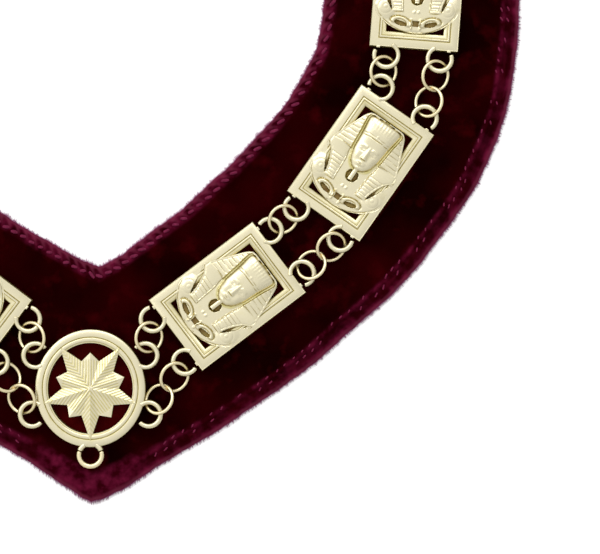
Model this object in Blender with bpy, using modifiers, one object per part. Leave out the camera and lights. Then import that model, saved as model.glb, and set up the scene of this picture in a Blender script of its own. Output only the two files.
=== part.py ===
# Chain of office: a gilt chain of bust plaques laid on a V-fronted velvet collar.
# Metres, +Z up. The collar lies flat on z = 0 with its point towards -Y, and the origin is
# under the middle of its outline. The chain is one closed loop: a roundel with a ten-pointed
# star at the point of the V, then eleven plaques joined by two rows of jump rings.

import math

import bmesh
import bpy
import numpy as np
from mathutils import Matrix, Vector

# The chain's run, seen from above
PLAQUES_EACH_SIDE = 5             # and one more at the middle of the back
FRONT_SLOPE = math.radians(33.9)  # the arms of the V rise at this angle
BREAST_RADIUS = 0.2006            # each arm bends upwards along this arc
SHOULDER_RUN = 0.0112             # straight stretch at the shoulder, before the back's half circle
PLAQUE_GAP = 0.0297               # between two plaques' short sides
ROUNDEL_GAP = 0.0223              # between the roundel's rim and the first plaque
PLAQUE_LEANS = (3.2, -3.5, 0.0)   # degrees that the first plaques of an arm turn outwards

# The velvet collar
COLLAR_WIDTH = 0.101
VELVET_THICKNESS = 0.003
TIP_ROUNDING = 0.0062             # how far the sharp outer point of the V is worn back
COLLAR_STEP = 0.016               # largest step between two cross-sections of the collar

# How far the cloth reaches from the chain's run beyond half its width, towards the neck and
# away from it. It was cut and pulled a little unevenly along the breast.
COLLAR_EASE = [
    {"travel": 0.000, "neck": 0.0008, "away": 0.0018},
    {"travel": 0.014, "neck": -0.0020, "away": 0.0022},
    {"travel": 0.030, "neck": -0.0029, "away": 0.0027},
    {"travel": 0.050, "neck": -0.0022, "away": 0.0031},
    {"travel": 0.085, "neck": -0.0010, "away": 0.0029},
    {"travel": 0.115, "neck": 0.0009, "away": 0.0002},
    {"travel": 0.140, "neck": 0.0007, "away": 0.0021},
    {"travel": 0.165, "neck": -0.0007, "away": 0.0029},
    {"travel": 0.190, "neck": -0.0034, "away": 0.0055},
    {"travel": 0.225, "neck": -0.0060, "away": 0.0059},
    {"travel": 0.250, "neck": -0.0052, "away": 0.0026},
    {"travel": 0.270, "neck": -0.0040, "away": 0.0008},
    {"travel": 0.288, "neck": -0.0020, "away": 0.0},
    {"travel": 0.320, "neck": 0.0, "away": 0.0},
]

# A plaque: a moulded frame with a bust in its window
PLAQUE_LENGTH = 0.0654
PLAQUE_WIDTH = 0.0446
FRAME_BAND = 0.0085
FRAME_EDGE_WIDTH = 0.0012         # sloping outer edge of the frame
FRAME_EDGE_DROP = 0.0009
FRAME_STEP_WIDTH = 0.0018         # lower step round the window
FRAME_STEP_DROP = 0.0013
BUST_RISE = 0.0042                # highest point of the bust over the frame's top
CHEST_SHARE = 0.15                # of that rise, the top of the shoulders and chest
HEADDRESS_SHARE = 0.55            # and the top of the headdress
BUST_FLOOR_SHARE = 0.3            # of the frame's depth, the hidden underside of the bust
RELIEF_CHAMFER = 0.0011           # slanted border of the raised outlines

# The roundel: an oval rim that holds a star
ROUNDEL_WIDTH = 0.0552
ROUNDEL_HEIGHT = 0.0590
ROUNDEL_RIM = 0.0065
STAR_POINTS = 5                   # long points, with a short one between each two
STAR_SHORT_REACH = 0.0180
STAR_VALLEY_REACH = 0.0143
STAR_TIP_ROOT = 0.0014            # how far a long point runs into the rim
STAR_RISE = 0.0018                # centre of the star over the rim's top
RIM_SIDES = 24

# Open loops cast with the plaques and the roundel
LOOP_RADIUS = 0.0060              # at the middle of the wire
LOOP_WIRE = 0.0024
LOOP_REACH = 0.0040               # a loop's centre beyond the edge it is cast on
LOOP_SPREAD = 0.0134              # a loop's centre from the plaque's long axis
LOOP_MOUTH = 0.0011               # open gap between a loop's free end and the edge
LOOP_ROOT_ANGLE = math.radians(155.0)
ROUNDEL_LOOP_ANGLES = {"inner": math.radians(31.0), "outer": math.radians(-24.0)}
LOOP_STEPS = 8
WIRE_SIDES = 5

# Jump rings
RING_RADIUS = 0.0074
RING_WIRE = 0.0017
PAIR_BITE = 0.25                  # share of the wire by which two paired rings press together
RING_SIDES = 10

# The loop under the roundel, for a badge
JEWEL_LOOP_RADIUS = 0.0057
JEWEL_LOOP_WIRE = 0.0026
JEWEL_LOOP_DROP = 0.0038          # its centre below the rim
JEWEL_LUG_WIRE = 0.0029
JEWEL_SEAM_ANGLE = math.radians(21.0)
JEWEL_LUG_ROOT_ANGLE = math.radians(62.0)

CLEARANCE = 0.0003                # between pieces that touch on the real chain

# Cross-section of the collar: shares of half its width and of its thickness
COLLAR_SECTION = [
    {"side": -0.975, "height": 0.00},
    {"side": 0.975, "height": 0.00},
    {"side": 1.000, "height": 0.40},
    {"side": 0.985, "height": 0.85},
    {"side": 0.940, "height": 1.00},
    {"side": -0.940, "height": 1.00},
    {"side": -0.985, "height": 0.85},
    {"side": -1.000, "height": 0.40},
]

# Half outline of the shoulders and chest, from the foot up: shares of half the plaque's
# width and of half its length
TORSO_OUTLINE = [
    {"side": 0.00, "along": -0.700},
    {"side": 0.40, "along": -0.680},
    {"side": 0.80, "along": -0.550},
    {"side": 0.95, "along": -0.400},
    {"side": 0.84, "along": -0.260},
    {"side": 0.50, "along": -0.060},
    {"side": 0.00, "along": -0.060},
]

# Half outline of the cloth headdress, from its crown down to the end of a lappet
HEADDRESS_OUTLINE = [
    {"side": 0.00, "along": 0.735},
    {"side": 0.32, "along": 0.715},
    {"side": 0.53, "along": 0.630},
    {"side": 0.87, "along": 0.050},
    {"side": 0.78, "along": -0.080},
    {"side": 0.60, "along": -0.110},
    {"side": 0.58, "along": -0.400},
    {"side": 0.33, "along": -0.400},
    {"side": 0.31, "along": -0.080},
    {"side": 0.00, "along": -0.080},
]

# Rounded masses of the bust: places as in the outlines, widths and lengths as shares of half
# the plaque's width, levels and rises as shares of the whole relief
MASSES = [
    {"name": "face", "along": 0.230, "wide": 0.40, "long": 0.48, "level": 0.64, "rise": 0.36},
    {"name": "beard", "along": -0.190, "wide": 0.13, "long": 0.34, "level": 0.46, "rise": 0.40},
]


def clear_all():
    for item in list(bpy.data.objects):
        bpy.data.objects.remove(item)


def make_material(name, colour, roughness, metallic):
    material = bpy.data.materials.new(name)
    material.use_nodes = True
    shader = material.node_tree.nodes["Principled BSDF"]
    shader.inputs["Base Color"].default_value = (*colour, 1.0)
    shader.inputs["Roughness"].default_value = roughness
    shader.inputs["Metallic"].default_value = metallic
    material.diffuse_color = (*colour, 1.0)
    return material


def add_object(name, mesh, collection):
    piece = bpy.data.objects.new(name, mesh)
    collection.objects.link(piece)
    return piece


def as_mesh(source, name):
    """The evaluated mesh of an object, in the object's own place, with loose caps welded."""
    bpy.context.view_layer.update()
    evaluated = source.evaluated_get(bpy.context.evaluated_depsgraph_get())
    mesh = bpy.data.meshes.new_from_object(evaluated)
    mesh.name = name
    mesh.transform(source.matrix_world)
    bm = bmesh.new()
    bm.from_mesh(mesh)
    bmesh.ops.remove_doubles(bm, verts=bm.verts, dist=0.00001)
    bm.to_mesh(mesh)
    bm.free()
    bpy.data.objects.remove(source)
    return mesh


def fuse(name, meshes):
    """One closed mesh from several closed ones that overlap."""
    base = add_object(name, meshes[0], cutters)
    for number, mesh in enumerate(meshes[1:]):
        tool = add_object(name + "_joined_" + str(number), mesh, cutters)
        tool.hide_render = True
        tool.display_type = "WIRE"
        union = base.modifiers.new("join", "BOOLEAN")
        union.operation = "UNION"
        union.solver = "EXACT"
        union.object = tool
    tools = [modifier.object for modifier in base.modifiers]
    mesh = as_mesh(base, name)
    for tool in tools:
        bpy.data.objects.remove(tool)
    return mesh


def wire_arc(radius, wire, start, end, steps, centre):
    """Round wire bent along an arc at the loops' height: a small circle, spun and capped."""
    bm = bmesh.new()
    upright = Matrix.Rotation(math.pi / 2, 4, "X")
    place = Matrix.Rotation(start, 4, "Z") @ Matrix.Translation((radius, 0, 0)) @ upright
    bmesh.ops.create_circle(bm, segments=WIRE_SIDES, radius=wire / 2, matrix=place)
    bmesh.ops.spin(
        bm, geom=bm.edges[:], cent=(0, 0, 0), axis=(0, 0, 1), angle=end - start, steps=steps
    )
    bmesh.ops.holes_fill(bm, edges=[edge for edge in bm.edges if edge.is_boundary])
    bmesh.ops.translate(bm, vec=(centre[0], centre[1], loop_height), verts=bm.verts)
    bmesh.ops.recalc_face_normals(bm, faces=bm.faces)
    mesh = bpy.data.meshes.new("wire")
    bm.to_mesh(mesh)
    bm.free()
    return mesh


def cast_loop(centre, outward, free_side):
    """An open loop cast on an edge. free_side is +1 where its free end is anticlockwise."""
    free_angle = math.acos((LOOP_MOUTH - LOOP_REACH) / (LOOP_RADIUS + LOOP_WIRE / 2))
    start = outward - free_side * LOOP_ROOT_ANGLE
    end = outward + free_side * free_angle
    low, high = min(start, end), max(start, end)
    return wire_arc(LOOP_RADIUS, LOOP_WIRE, low, high, LOOP_STEPS, centre)


def least_ring_gap(spacing, tilt):
    """Least distance between a loop's and a tilted jump ring's middle lines."""
    turn = np.linspace(0.0, 2 * math.pi, 360, endpoint=False)
    corner = 2 * math.pi / RING_SIDES
    inside = np.cos(corner / 2) / np.cos(turn % corner - corner / 2)
    ring_x = spacing + RING_RADIUS * inside * np.cos(turn)
    ring_side = RING_RADIUS * inside * np.sin(turn)
    ring = np.stack([ring_x, ring_side * math.cos(tilt), ring_side * math.sin(tilt)], axis=1)
    least = LOOP_RADIUS
    loop_corner = (LOOP_ROOT_ANGLE + math.radians(115.0)) / LOOP_STEPS
    for radius in (LOOP_RADIUS, LOOP_RADIUS * math.cos(loop_corner / 2)):
        loop = np.stack([radius * np.cos(turn), radius * np.sin(turn), 0 * turn], axis=1)
        apart = np.linalg.norm(ring[:, None, :] - loop[None, :, :], axis=2)
        least = min(least, float(apart.min()))
    return least


def smallest_clear_tilt(row):
    """Smallest tilt, in half degrees, at which a row's rings clear the loops they pass through."""
    needed = (LOOP_WIRE + RING_WIRE) / 2 + CLEARANCE
    spacings = [ring_spacing(span, row) for span in spans[row]]
    for half_degrees in range(30, 120):
        tilt = math.radians(half_degrees / 2)
        if min(least_ring_gap(spacing, tilt) for spacing in spacings) >= needed:
            return tilt
    return math.radians(60.0)


# Lengths of the chain and of its run. The back is a half circle about the neck, and the
# straight part of each arm takes up what the chain's length leaves.
pitch = PLAQUE_LENGTH + PLAQUE_GAP
first_pitch = ROUNDEL_WIDTH / 2 + ROUNDEL_GAP + PLAQUE_LENGTH / 2
half_loop = first_pitch + PLAQUES_EACH_SIDE * pitch
breast_turn = math.pi / 2 - FRONT_SLOPE
breast_reach = BREAST_RADIUS * (1 - math.sin(FRONT_SLOPE))
arm_straight = half_loop - BREAST_RADIUS * breast_turn - SHOULDER_RUN - math.pi / 2 * breast_reach
arm_straight = arm_straight / (1 + math.pi / 2 * math.cos(FRONT_SLOPE))
back_radius = arm_straight * math.cos(FRONT_SLOPE) + breast_reach
neck_y = arm_straight * math.sin(FRONT_SLOPE) + BREAST_RADIUS * math.cos(FRONT_SLOPE)
neck_y = neck_y + SHOULDER_RUN
tip_reach = COLLAR_WIDTH / 2 + COLLAR_EASE[0]["away"]
tip_y = -tip_reach / math.cos(FRONT_SLOPE) + TIP_ROUNDING
collar_length = neck_y + back_radius + COLLAR_WIDTH / 2 - tip_y
middle_y = tip_y + collar_length / 2


def run_point(travel):
    """Place and heading at a length along the chain's run, up the right arm from the V."""
    if travel <= arm_straight:
        x = travel * math.cos(FRONT_SLOPE)
        y = travel * math.sin(FRONT_SLOPE)
        return x, y, FRONT_SLOPE
    travel -= arm_straight
    start_x = arm_straight * math.cos(FRONT_SLOPE)
    start_y = arm_straight * math.sin(FRONT_SLOPE)
    if travel <= BREAST_RADIUS * breast_turn:
        heading = FRONT_SLOPE + travel / BREAST_RADIUS
        x = start_x + BREAST_RADIUS * (math.sin(heading) - math.sin(FRONT_SLOPE))
        y = start_y + BREAST_RADIUS * (math.cos(FRONT_SLOPE) - math.cos(heading))
        return x, y, heading
    travel -= BREAST_RADIUS * breast_turn
    if travel <= SHOULDER_RUN:
        return back_radius, neck_y - SHOULDER_RUN + travel, math.pi / 2
    turn = (travel - SHOULDER_RUN) / back_radius
    return back_radius * math.cos(turn), neck_y + back_radius * math.sin(turn), math.pi / 2 + turn


def plaque_places():
    """Place, heading and which way up the bust is, for each plaque round the loop."""
    places = []
    for number in range(PLAQUES_EACH_SIDE + 1):
        x, y, heading = run_point(first_pitch + number * pitch)
        if number < len(PLAQUE_LEANS):
            heading += math.radians(PLAQUE_LEANS[number])
        places.append({"x": x, "y": y, "heading": heading, "bust": heading})
    for place in reversed(places[:PLAQUES_EACH_SIDE]):
        back = 2 * math.pi - place["heading"]
        places.append({"x": -place["x"], "y": place["y"], "heading": back, "bust": back + math.pi})
    return places


def plaque_loop_centre(place, end, side):
    """Centre of a plaque's loop. end is +1 ahead along the run, side is -1 on the neck's side."""
    along = end * (PLAQUE_LENGTH / 2 + LOOP_REACH)
    aside = side * LOOP_SPREAD
    heading = place["heading"]
    x = place["x"] + along * math.cos(heading) + aside * math.sin(heading)
    y = place["y"] + along * math.sin(heading) - aside * math.cos(heading)
    return Vector((x, y, 0.0))


def rim_radius(angle):
    across = math.cos(angle) / (ROUNDEL_WIDTH / 2)
    upright = math.sin(angle) / (ROUNDEL_HEIGHT / 2)
    return 1 / math.hypot(across, upright)


def roundel_loop_centre(row, arm):
    """Centre of a loop on the roundel. arm is +1 on the right and -1 on the left."""
    angle = ROUNDEL_LOOP_ANGLES[row]
    distance = rim_radius(angle) + LOOP_REACH
    return Vector((arm * distance * math.cos(angle), distance * math.sin(angle), 0.0))


def link_spans(places):
    """The two loop centres that each link of jump rings joins, for both rows."""
    spans = {"inner": [], "outer": []}
    for row, side in (("inner", -1), ("outer", 1)):
        first = roundel_loop_centre(row, 1)
        for place in places:
            spans[row].append((first, plaque_loop_centre(place, -1, side)))
            first = plaque_loop_centre(place, 1, side)
        spans[row].append((first, roundel_loop_centre(row, -1)))
    return spans


def ring_spacing(span, row):
    """Distance from a loop's centre to the centre of the jump ring that hangs in it."""
    length = (span[1] - span[0]).length
    if row == "outer":
        length -= pair_length
    return length / 2


clear_all()
parts = bpy.data.collections.new("chain_of_office")
bpy.context.scene.collection.children.link(parts)
cutters = bpy.data.collections.new("cutters")
bpy.context.scene.collection.children.link(cutters)
velvet = make_material("velvet", (0.030, 0.000, 0.004), 0.95, 0.0)
gilt = make_material("gilt", (0.74, 0.70, 0.48), 0.30, 1.0)

# Heights: the jump rings just clear the cloth, and the loops lie at the rings' middle
pair_length = 2 * RING_RADIUS - (1 - PAIR_BITE) * RING_WIRE
plaques = plaque_places()
spans = link_spans(plaques)
ring_tilts = {row: smallest_clear_tilt(row) for row in spans}
metal_bottom = VELVET_THICKNESS + CLEARANCE
loop_height = metal_bottom + RING_WIRE / 2 + RING_RADIUS * math.sin(max(ring_tilts.values()))
frame_top = loop_height + LOOP_WIRE / 2 + CLEARANCE
bust_top = frame_top + BUST_RISE
bust_bottom = metal_bottom + (frame_top - metal_bottom) * BUST_FLOOR_SHARE


def collar_stations():
    """Lengths along the run at which the collar has a cross-section, from the V to the back."""
    ends = [0.0, arm_straight, arm_straight + BREAST_RADIUS * breast_turn]
    ends.append(ends[-1] + SHOULDER_RUN)
    ends.append(half_loop)
    stations = []
    for start, end in zip(ends, ends[1:]):
        steps = max(1, math.ceil((end - start) / COLLAR_STEP))
        stations += [start + (end - start) * step / steps for step in range(steps)]
    return stations + [half_loop]


def collar_ease(travel, end):
    """Extra reach of the cloth at a length along the run, on the side named by end."""
    for row, following in zip(COLLAR_EASE, COLLAR_EASE[1:]):
        if travel <= following["travel"]:
            share = (travel - row["travel"]) / (following["travel"] - row["travel"])
            return row[end] + (following[end] - row[end]) * share
    return COLLAR_EASE[-1][end]


def collar_place(travel, aside):
    """A point of the collar beside its run. The arms fan out from the mitre at the V."""
    x, y, heading = run_point(max(travel, arm_straight))
    square = Vector((x + aside * math.sin(heading), y - aside * math.cos(heading)))
    if travel >= arm_straight:
        return square
    worn = TIP_ROUNDING if travel == 0.0 and aside > 0 else 0.0
    mitre = Vector((0.0, worn - aside / math.cos(FRONT_SLOPE)))
    return mitre.lerp(square, travel / arm_straight)


def collar_ring(bm, travel, arm):
    """One cross-section of the collar."""
    ring = []
    for corner in COLLAR_SECTION:
        half = COLLAR_WIDTH / 2 + collar_ease(travel, "away" if corner["side"] > 0 else "neck")
        place = collar_place(travel, corner["side"] * half)
        height = corner["height"] * VELVET_THICKNESS
        ring.append(bm.verts.new((arm * place.x, place.y, height)))
    return ring


def make_collar():
    """The velvet band, lofted through cross-sections all the way round."""
    stations = collar_stations()
    bm = bmesh.new()
    rings = [collar_ring(bm, travel, 1) for travel in stations]
    rings += [collar_ring(bm, travel, -1) for travel in reversed(stations[1:-1])]
    corners = len(COLLAR_SECTION)
    for ring, following in zip(rings, rings[1:] + rings[:1]):
        for a in range(corners):
            b = (a + 1) % corners
            bm.faces.new((ring[a], following[a], following[b], ring[b]))
    bmesh.ops.recalc_face_normals(bm, faces=bm.faces)
    mesh = bpy.data.meshes.new("velvet_collar")
    bm.to_mesh(mesh)
    bm.free()
    mesh.materials.append(velvet)
    mesh.shade_smooth()
    mesh.set_sharp_from_angle(angle=math.radians(50))
    collar = add_object("velvet_collar", mesh, parts)
    collar.location = (0.0, -middle_y, 0.0)


def frame_mesh():
    """The moulded frame: a block whose top is inset step by step, then opened in the middle."""
    bm = bmesh.new()
    edge_top = frame_top - FRAME_EDGE_DROP
    bmesh.ops.create_cube(bm, size=1.0)
    bmesh.ops.scale(bm, vec=(PLAQUE_WIDTH, PLAQUE_LENGTH, edge_top - metal_bottom), verts=bm.verts)
    bmesh.ops.translate(bm, vec=(0, 0, (edge_top + metal_bottom) / 2), verts=bm.verts)
    top = max(bm.faces, key=lambda face: face.calc_center_median().z)
    bottom = min(bm.faces, key=lambda face: face.calc_center_median().z)
    moulding = FRAME_BAND - FRAME_EDGE_WIDTH - FRAME_STEP_WIDTH
    flank = FRAME_STEP_DROP / 4
    insets = [(FRAME_EDGE_WIDTH, FRAME_EDGE_DROP), (moulding - flank, 0.0)]
    insets += [(flank, -FRAME_STEP_DROP), (FRAME_STEP_WIDTH, 0.0)]
    for width, rise in insets:
        bmesh.ops.inset_region(bm, faces=[top], thickness=width, depth=0.0, use_even_offset=True)
        bmesh.ops.translate(bm, vec=(0, 0, rise), verts=top.verts)
    bmesh.ops.inset_region(bm, faces=[bottom], thickness=FRAME_BAND, use_even_offset=True)
    rims = list(top.edges) + list(bottom.edges)
    bmesh.ops.delete(bm, geom=[top, bottom], context="FACES_ONLY")
    bmesh.ops.bridge_loops(bm, edges=rims)
    bmesh.ops.recalc_face_normals(bm, faces=bm.faces)
    mesh = bpy.data.meshes.new("frame")
    bm.to_mesh(mesh)
    bm.free()
    return mesh


def raised_outline(name, outline, share):
    """A flat form with a chamfered top, from half an outline that is mirrored."""
    top_height = frame_top + BUST_RISE * share
    half = [(row["side"] * PLAQUE_WIDTH / 2, row["along"] * PLAQUE_LENGTH / 2) for row in outline]
    points = half + [(-x, y) for x, y in reversed(half) if x > 0]
    bm = bmesh.new()
    face = bm.faces.new([bm.verts.new((x, y, bust_bottom)) for x, y in points])
    if face.normal.z < 0:
        face.normal_flip()
    bm.normal_update()
    grown = bmesh.ops.extrude_face_region(bm, geom=[face], use_keep_orig=True)
    top_verts = [item for item in grown["geom"] if isinstance(item, bmesh.types.BMVert)]
    wall = top_height - RELIEF_CHAMFER - bust_bottom
    bmesh.ops.translate(bm, vec=(0, 0, wall), verts=top_verts)
    top = [item for item in grown["geom"] if isinstance(item, bmesh.types.BMFace)]
    bmesh.ops.recalc_face_normals(bm, faces=bm.faces)
    bmesh.ops.inset_region(bm, faces=top, thickness=RELIEF_CHAMFER, use_even_offset=True)
    bmesh.ops.translate(bm, vec=(0, 0, RELIEF_CHAMFER), verts=top[0].verts)
    bmesh.ops.recalc_face_normals(bm, faces=bm.faces)
    mesh = bpy.data.meshes.new(name)
    bm.to_mesh(mesh)
    bm.free()
    return mesh


def rounded_mass(row):
    """A flattened ball, for the face, the beard and the breast."""
    half_width = PLAQUE_WIDTH / 2
    span = bust_top - metal_bottom
    middle = metal_bottom + row["level"] * span
    bm = bmesh.new()
    bmesh.ops.create_uvsphere(bm, u_segments=8, v_segments=4, radius=1.0)
    size = (row["wide"] * half_width, row["long"] * half_width, row["rise"] * span)
    bmesh.ops.scale(bm, vec=size, verts=bm.verts)
    place = (0.0, row["along"] * PLAQUE_LENGTH / 2, middle)
    bmesh.ops.translate(bm, vec=place, verts=bm.verts)
    mesh = bpy.data.meshes.new(row["name"])
    bm.to_mesh(mesh)
    bm.free()
    return mesh


def make_plaque_mesh():
    """One plaque, cast in one: the frame, its four loops and the bust."""
    meshes = [frame_mesh()]
    meshes.append(raised_outline("torso", TORSO_OUTLINE, CHEST_SHARE))
    meshes.append(raised_outline("headdress", HEADDRESS_OUTLINE, HEADDRESS_SHARE))
    meshes += [rounded_mass(row) for row in MASSES]
    for end in (-1, 1):
        for side in (-1, 1):
            centre = (side * LOOP_SPREAD, end * (PLAQUE_LENGTH / 2 + LOOP_REACH))
            meshes.append(cast_loop(centre, end * math.pi / 2, -side * end))
    mesh = fuse("plaque", meshes)
    mesh.materials.clear()
    mesh.materials.append(gilt)
    mesh.shade_smooth()
    mesh.set_sharp_from_angle(angle=math.radians(35))
    return mesh


def make_plaques():
    mesh = make_plaque_mesh()
    for number, place in enumerate(plaques, start=1):
        plaque = add_object("plaque_" + str(number).zfill(2), mesh, parts)
        plaque.location = (place["x"], place["y"] - middle_y, 0.0)
        plaque.rotation_euler = (0.0, 0.0, place["bust"] - math.pi / 2)


def rim_mesh():
    """The roundel's oval rim: a turned ring, stretched upright."""
    outer = ROUNDEL_WIDTH / 2
    inner = outer - ROUNDEL_RIM
    shoulder = ROUNDEL_RIM * 0.2
    profile = [
        (outer - shoulder, frame_top),
        (outer, frame_top - FRAME_EDGE_DROP),
        (outer, metal_bottom),
        (inner, metal_bottom),
        (inner, frame_top - FRAME_STEP_DROP),
        (inner + shoulder, frame_top),
    ]
    mesh = bpy.data.meshes.new("rim_profile")
    edges = [(index, (index + 1) % len(profile)) for index in range(len(profile))]
    mesh.from_pydata([(x, 0.0, z) for x, z in profile], edges, [])
    turned = add_object("rim", mesh, cutters)
    screw = turned.modifiers.new("turn", "SCREW")
    screw.steps = RIM_SIDES
    screw.render_steps = RIM_SIDES
    screw.use_merge_vertices = True
    screw.merge_threshold = 0.00001
    rim = as_mesh(turned, "rim")
    rim.transform(Matrix.Diagonal((1.0, ROUNDEL_HEIGHT / ROUNDEL_WIDTH, 1.0, 1.0)))
    return rim


def star_mesh():
    """The ten-pointed star: a flat star whose top is drawn up to the centre."""
    bm = bmesh.new()
    corners = 4 * STAR_POINTS
    bmesh.ops.create_circle(bm, cap_ends=True, segments=corners, radius=1.0)
    opening = 1 - 2 * ROUNDEL_RIM / ROUNDEL_WIDTH
    valleys = []
    for vert in bm.verts:
        angle = math.atan2(vert.co.y, vert.co.x)
        place = round((angle + math.pi / 2) / (2 * math.pi / corners)) % corners
        reach = STAR_VALLEY_REACH
        if place % 4 == 0:
            reach = rim_radius(angle) * opening + STAR_TIP_ROOT
        elif place % 4 == 2:
            reach = STAR_SHORT_REACH
        vert.co = (reach * math.cos(angle), reach * math.sin(angle), bust_bottom)
    face = bm.faces[:][0]
    grown = bmesh.ops.extrude_face_region(bm, geom=[face], use_keep_orig=True)
    top_verts = [item for item in grown["geom"] if isinstance(item, bmesh.types.BMVert)]
    top = [item for item in grown["geom"] if isinstance(item, bmesh.types.BMFace)]
    point_height = frame_top - FRAME_STEP_DROP - CLEARANCE
    for vert in top_verts:
        angle = math.atan2(vert.co.y, vert.co.x)
        place = round((angle + math.pi / 2) / (2 * math.pi / corners)) % corners
        if place % 2 == 1:
            valleys.append(vert)
        vert.co.z = point_height
    bmesh.ops.translate(bm, vec=(0, 0, -FRAME_STEP_DROP), verts=valleys)
    poked = bmesh.ops.poke(bm, faces=top)
    poked["verts"][0].co = (0.0, 0.0, frame_top + STAR_RISE)
    bmesh.ops.recalc_face_normals(bm, faces=bm.faces)
    mesh = bpy.data.meshes.new("star")
    bm.to_mesh(mesh)
    bm.free()
    return mesh


def jewel_arc(wire, start, end, steps):
    centre = (0.0, -ROUNDEL_HEIGHT / 2 - JEWEL_LOOP_DROP)
    return wire_arc(JEWEL_LOOP_RADIUS, wire, start, end, steps, centre)


def make_roundel():
    """The roundel, cast in one: rim, star, four loops and the two lugs of the jewel loop."""
    meshes = [rim_mesh(), star_mesh()]
    for row in ROUNDEL_LOOP_ANGLES:
        for arm in (1, -1):
            centre = roundel_loop_centre(row, arm)
            outward = math.atan2(centre.y, centre.x)
            free_side = arm if row == "inner" else -arm
            meshes.append(cast_loop((centre.x, centre.y), outward, free_side))
    for low, high in ((JEWEL_SEAM_ANGLE, JEWEL_LUG_ROOT_ANGLE),
                      (math.pi - JEWEL_LUG_ROOT_ANGLE, math.pi - JEWEL_SEAM_ANGLE)):
        meshes.append(jewel_arc(JEWEL_LUG_WIRE, low, high, 2))
    mesh = fuse("centre_roundel", meshes)
    mesh.materials.clear()
    mesh.materials.append(gilt)
    mesh.shade_smooth()
    mesh.set_sharp_from_angle(angle=math.radians(35))
    roundel = add_object("centre_roundel", mesh, parts)
    roundel.location = (0.0, -middle_y, 0.0)


def make_jewel_loop():
    """The open ring below the roundel, its ends seated on the two lugs."""
    seam = JEWEL_SEAM_ANGLE - CLEARANCE / JEWEL_LOOP_RADIUS
    mesh = jewel_arc(JEWEL_LOOP_WIRE, -math.pi - seam, seam, 10)
    mesh.name = "jewel_loop"
    mesh.materials.clear()
    mesh.materials.append(gilt)
    mesh.shade_smooth()
    loop = add_object("jewel_loop", mesh, parts)
    loop.location = (0.0, -middle_y, 0.0)


def ring_mesh(aside, tilt):
    """A jump ring whose middle is moved along the link, turned about the link's direction."""
    bpy.ops.mesh.primitive_torus_add(
        major_radius=RING_RADIUS,
        minor_radius=RING_WIRE / 2,
        major_segments=RING_SIDES,
        minor_segments=WIRE_SIDES,
    )
    ring = bpy.context.object
    mesh = ring.data
    bpy.data.objects.remove(ring)
    mesh.transform(Matrix.Translation((aside, 0.0, 0.0)) @ Matrix.Rotation(tilt, 4, "X"))
    return mesh


def make_links():
    """Single rings along the neck's side, and pairs drawn taut along the outer side."""
    meshes = {"inner": ring_mesh(0.0, ring_tilts["inner"])}
    tilt = ring_tilts["outer"]
    pair = [ring_mesh(-pair_length / 2, -tilt), ring_mesh(pair_length / 2, tilt)]
    meshes["outer"] = fuse("outer_link", pair)
    names = {"inner": "inner_ring_", "outer": "outer_link_"}
    for row, mesh in meshes.items():
        mesh.materials.clear()
        mesh.materials.append(gilt)
        mesh.shade_smooth()
        for number, (start, end) in enumerate(spans[row], start=1):
            middle = (start + end) / 2
            link = add_object(names[row] + str(number).zfill(2), mesh, parts)
            link.location = (middle.x, middle.y - middle_y, loop_height)
            link.rotation_euler = (0.0, 0.0, math.atan2(end.y - start.y, end.x - start.x))


make_collar()
make_roundel()
make_jewel_loop()
make_plaques()
make_links()
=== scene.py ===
# %% [markdown]
# # A chain of office on its velvet collar
#
# The finished object is a gilt chain laid on a flat collar of burgundy velvet. This script dresses
# the plain solids of the imported model: it gives the collar its pile, hems and stitches, and each
# casting its mouldings, relief and painted shade in its hollows. Everything is measured in metres,
# with +Z up.

# %% Load the solids
import math

import bmesh
import bpy
import numpy as np
from mathutils import Matrix, Vector


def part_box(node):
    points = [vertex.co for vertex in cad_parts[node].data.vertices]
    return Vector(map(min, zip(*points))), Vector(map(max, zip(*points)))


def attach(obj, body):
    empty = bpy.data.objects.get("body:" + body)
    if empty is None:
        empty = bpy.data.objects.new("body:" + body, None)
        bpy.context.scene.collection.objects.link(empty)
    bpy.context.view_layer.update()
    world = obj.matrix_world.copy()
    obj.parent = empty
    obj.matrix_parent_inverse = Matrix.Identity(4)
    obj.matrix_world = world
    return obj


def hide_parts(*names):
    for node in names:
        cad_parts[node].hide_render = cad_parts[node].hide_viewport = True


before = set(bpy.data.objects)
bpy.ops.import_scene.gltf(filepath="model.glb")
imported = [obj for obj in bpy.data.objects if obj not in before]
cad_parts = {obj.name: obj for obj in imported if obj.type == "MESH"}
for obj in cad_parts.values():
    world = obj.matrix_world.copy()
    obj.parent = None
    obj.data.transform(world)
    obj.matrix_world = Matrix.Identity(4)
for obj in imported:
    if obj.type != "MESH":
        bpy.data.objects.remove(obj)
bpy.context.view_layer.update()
MM = 0.001

# %% [markdown]
# The solids know where everything lies, so no place is typed in twice. A plaque's frame stands on
# four outer corners, which give its middle, its size and the way its bust points. A jump ring is a
# flat circle of points, so the direction in which the points spread least is the ring's axis.

# %% Read places off the solids
def mesh_points(mesh):
    """All vertices of a mesh, as an array of rows."""
    points = np.empty(len(mesh.vertices) * 3)
    mesh.vertices.foreach_get("co", points)
    return points.reshape(-1, 3)


def node_points(node):
    return mesh_points(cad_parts[node].data)


def nodes_named(start):
    return sorted(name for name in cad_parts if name.startswith(start))


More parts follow.
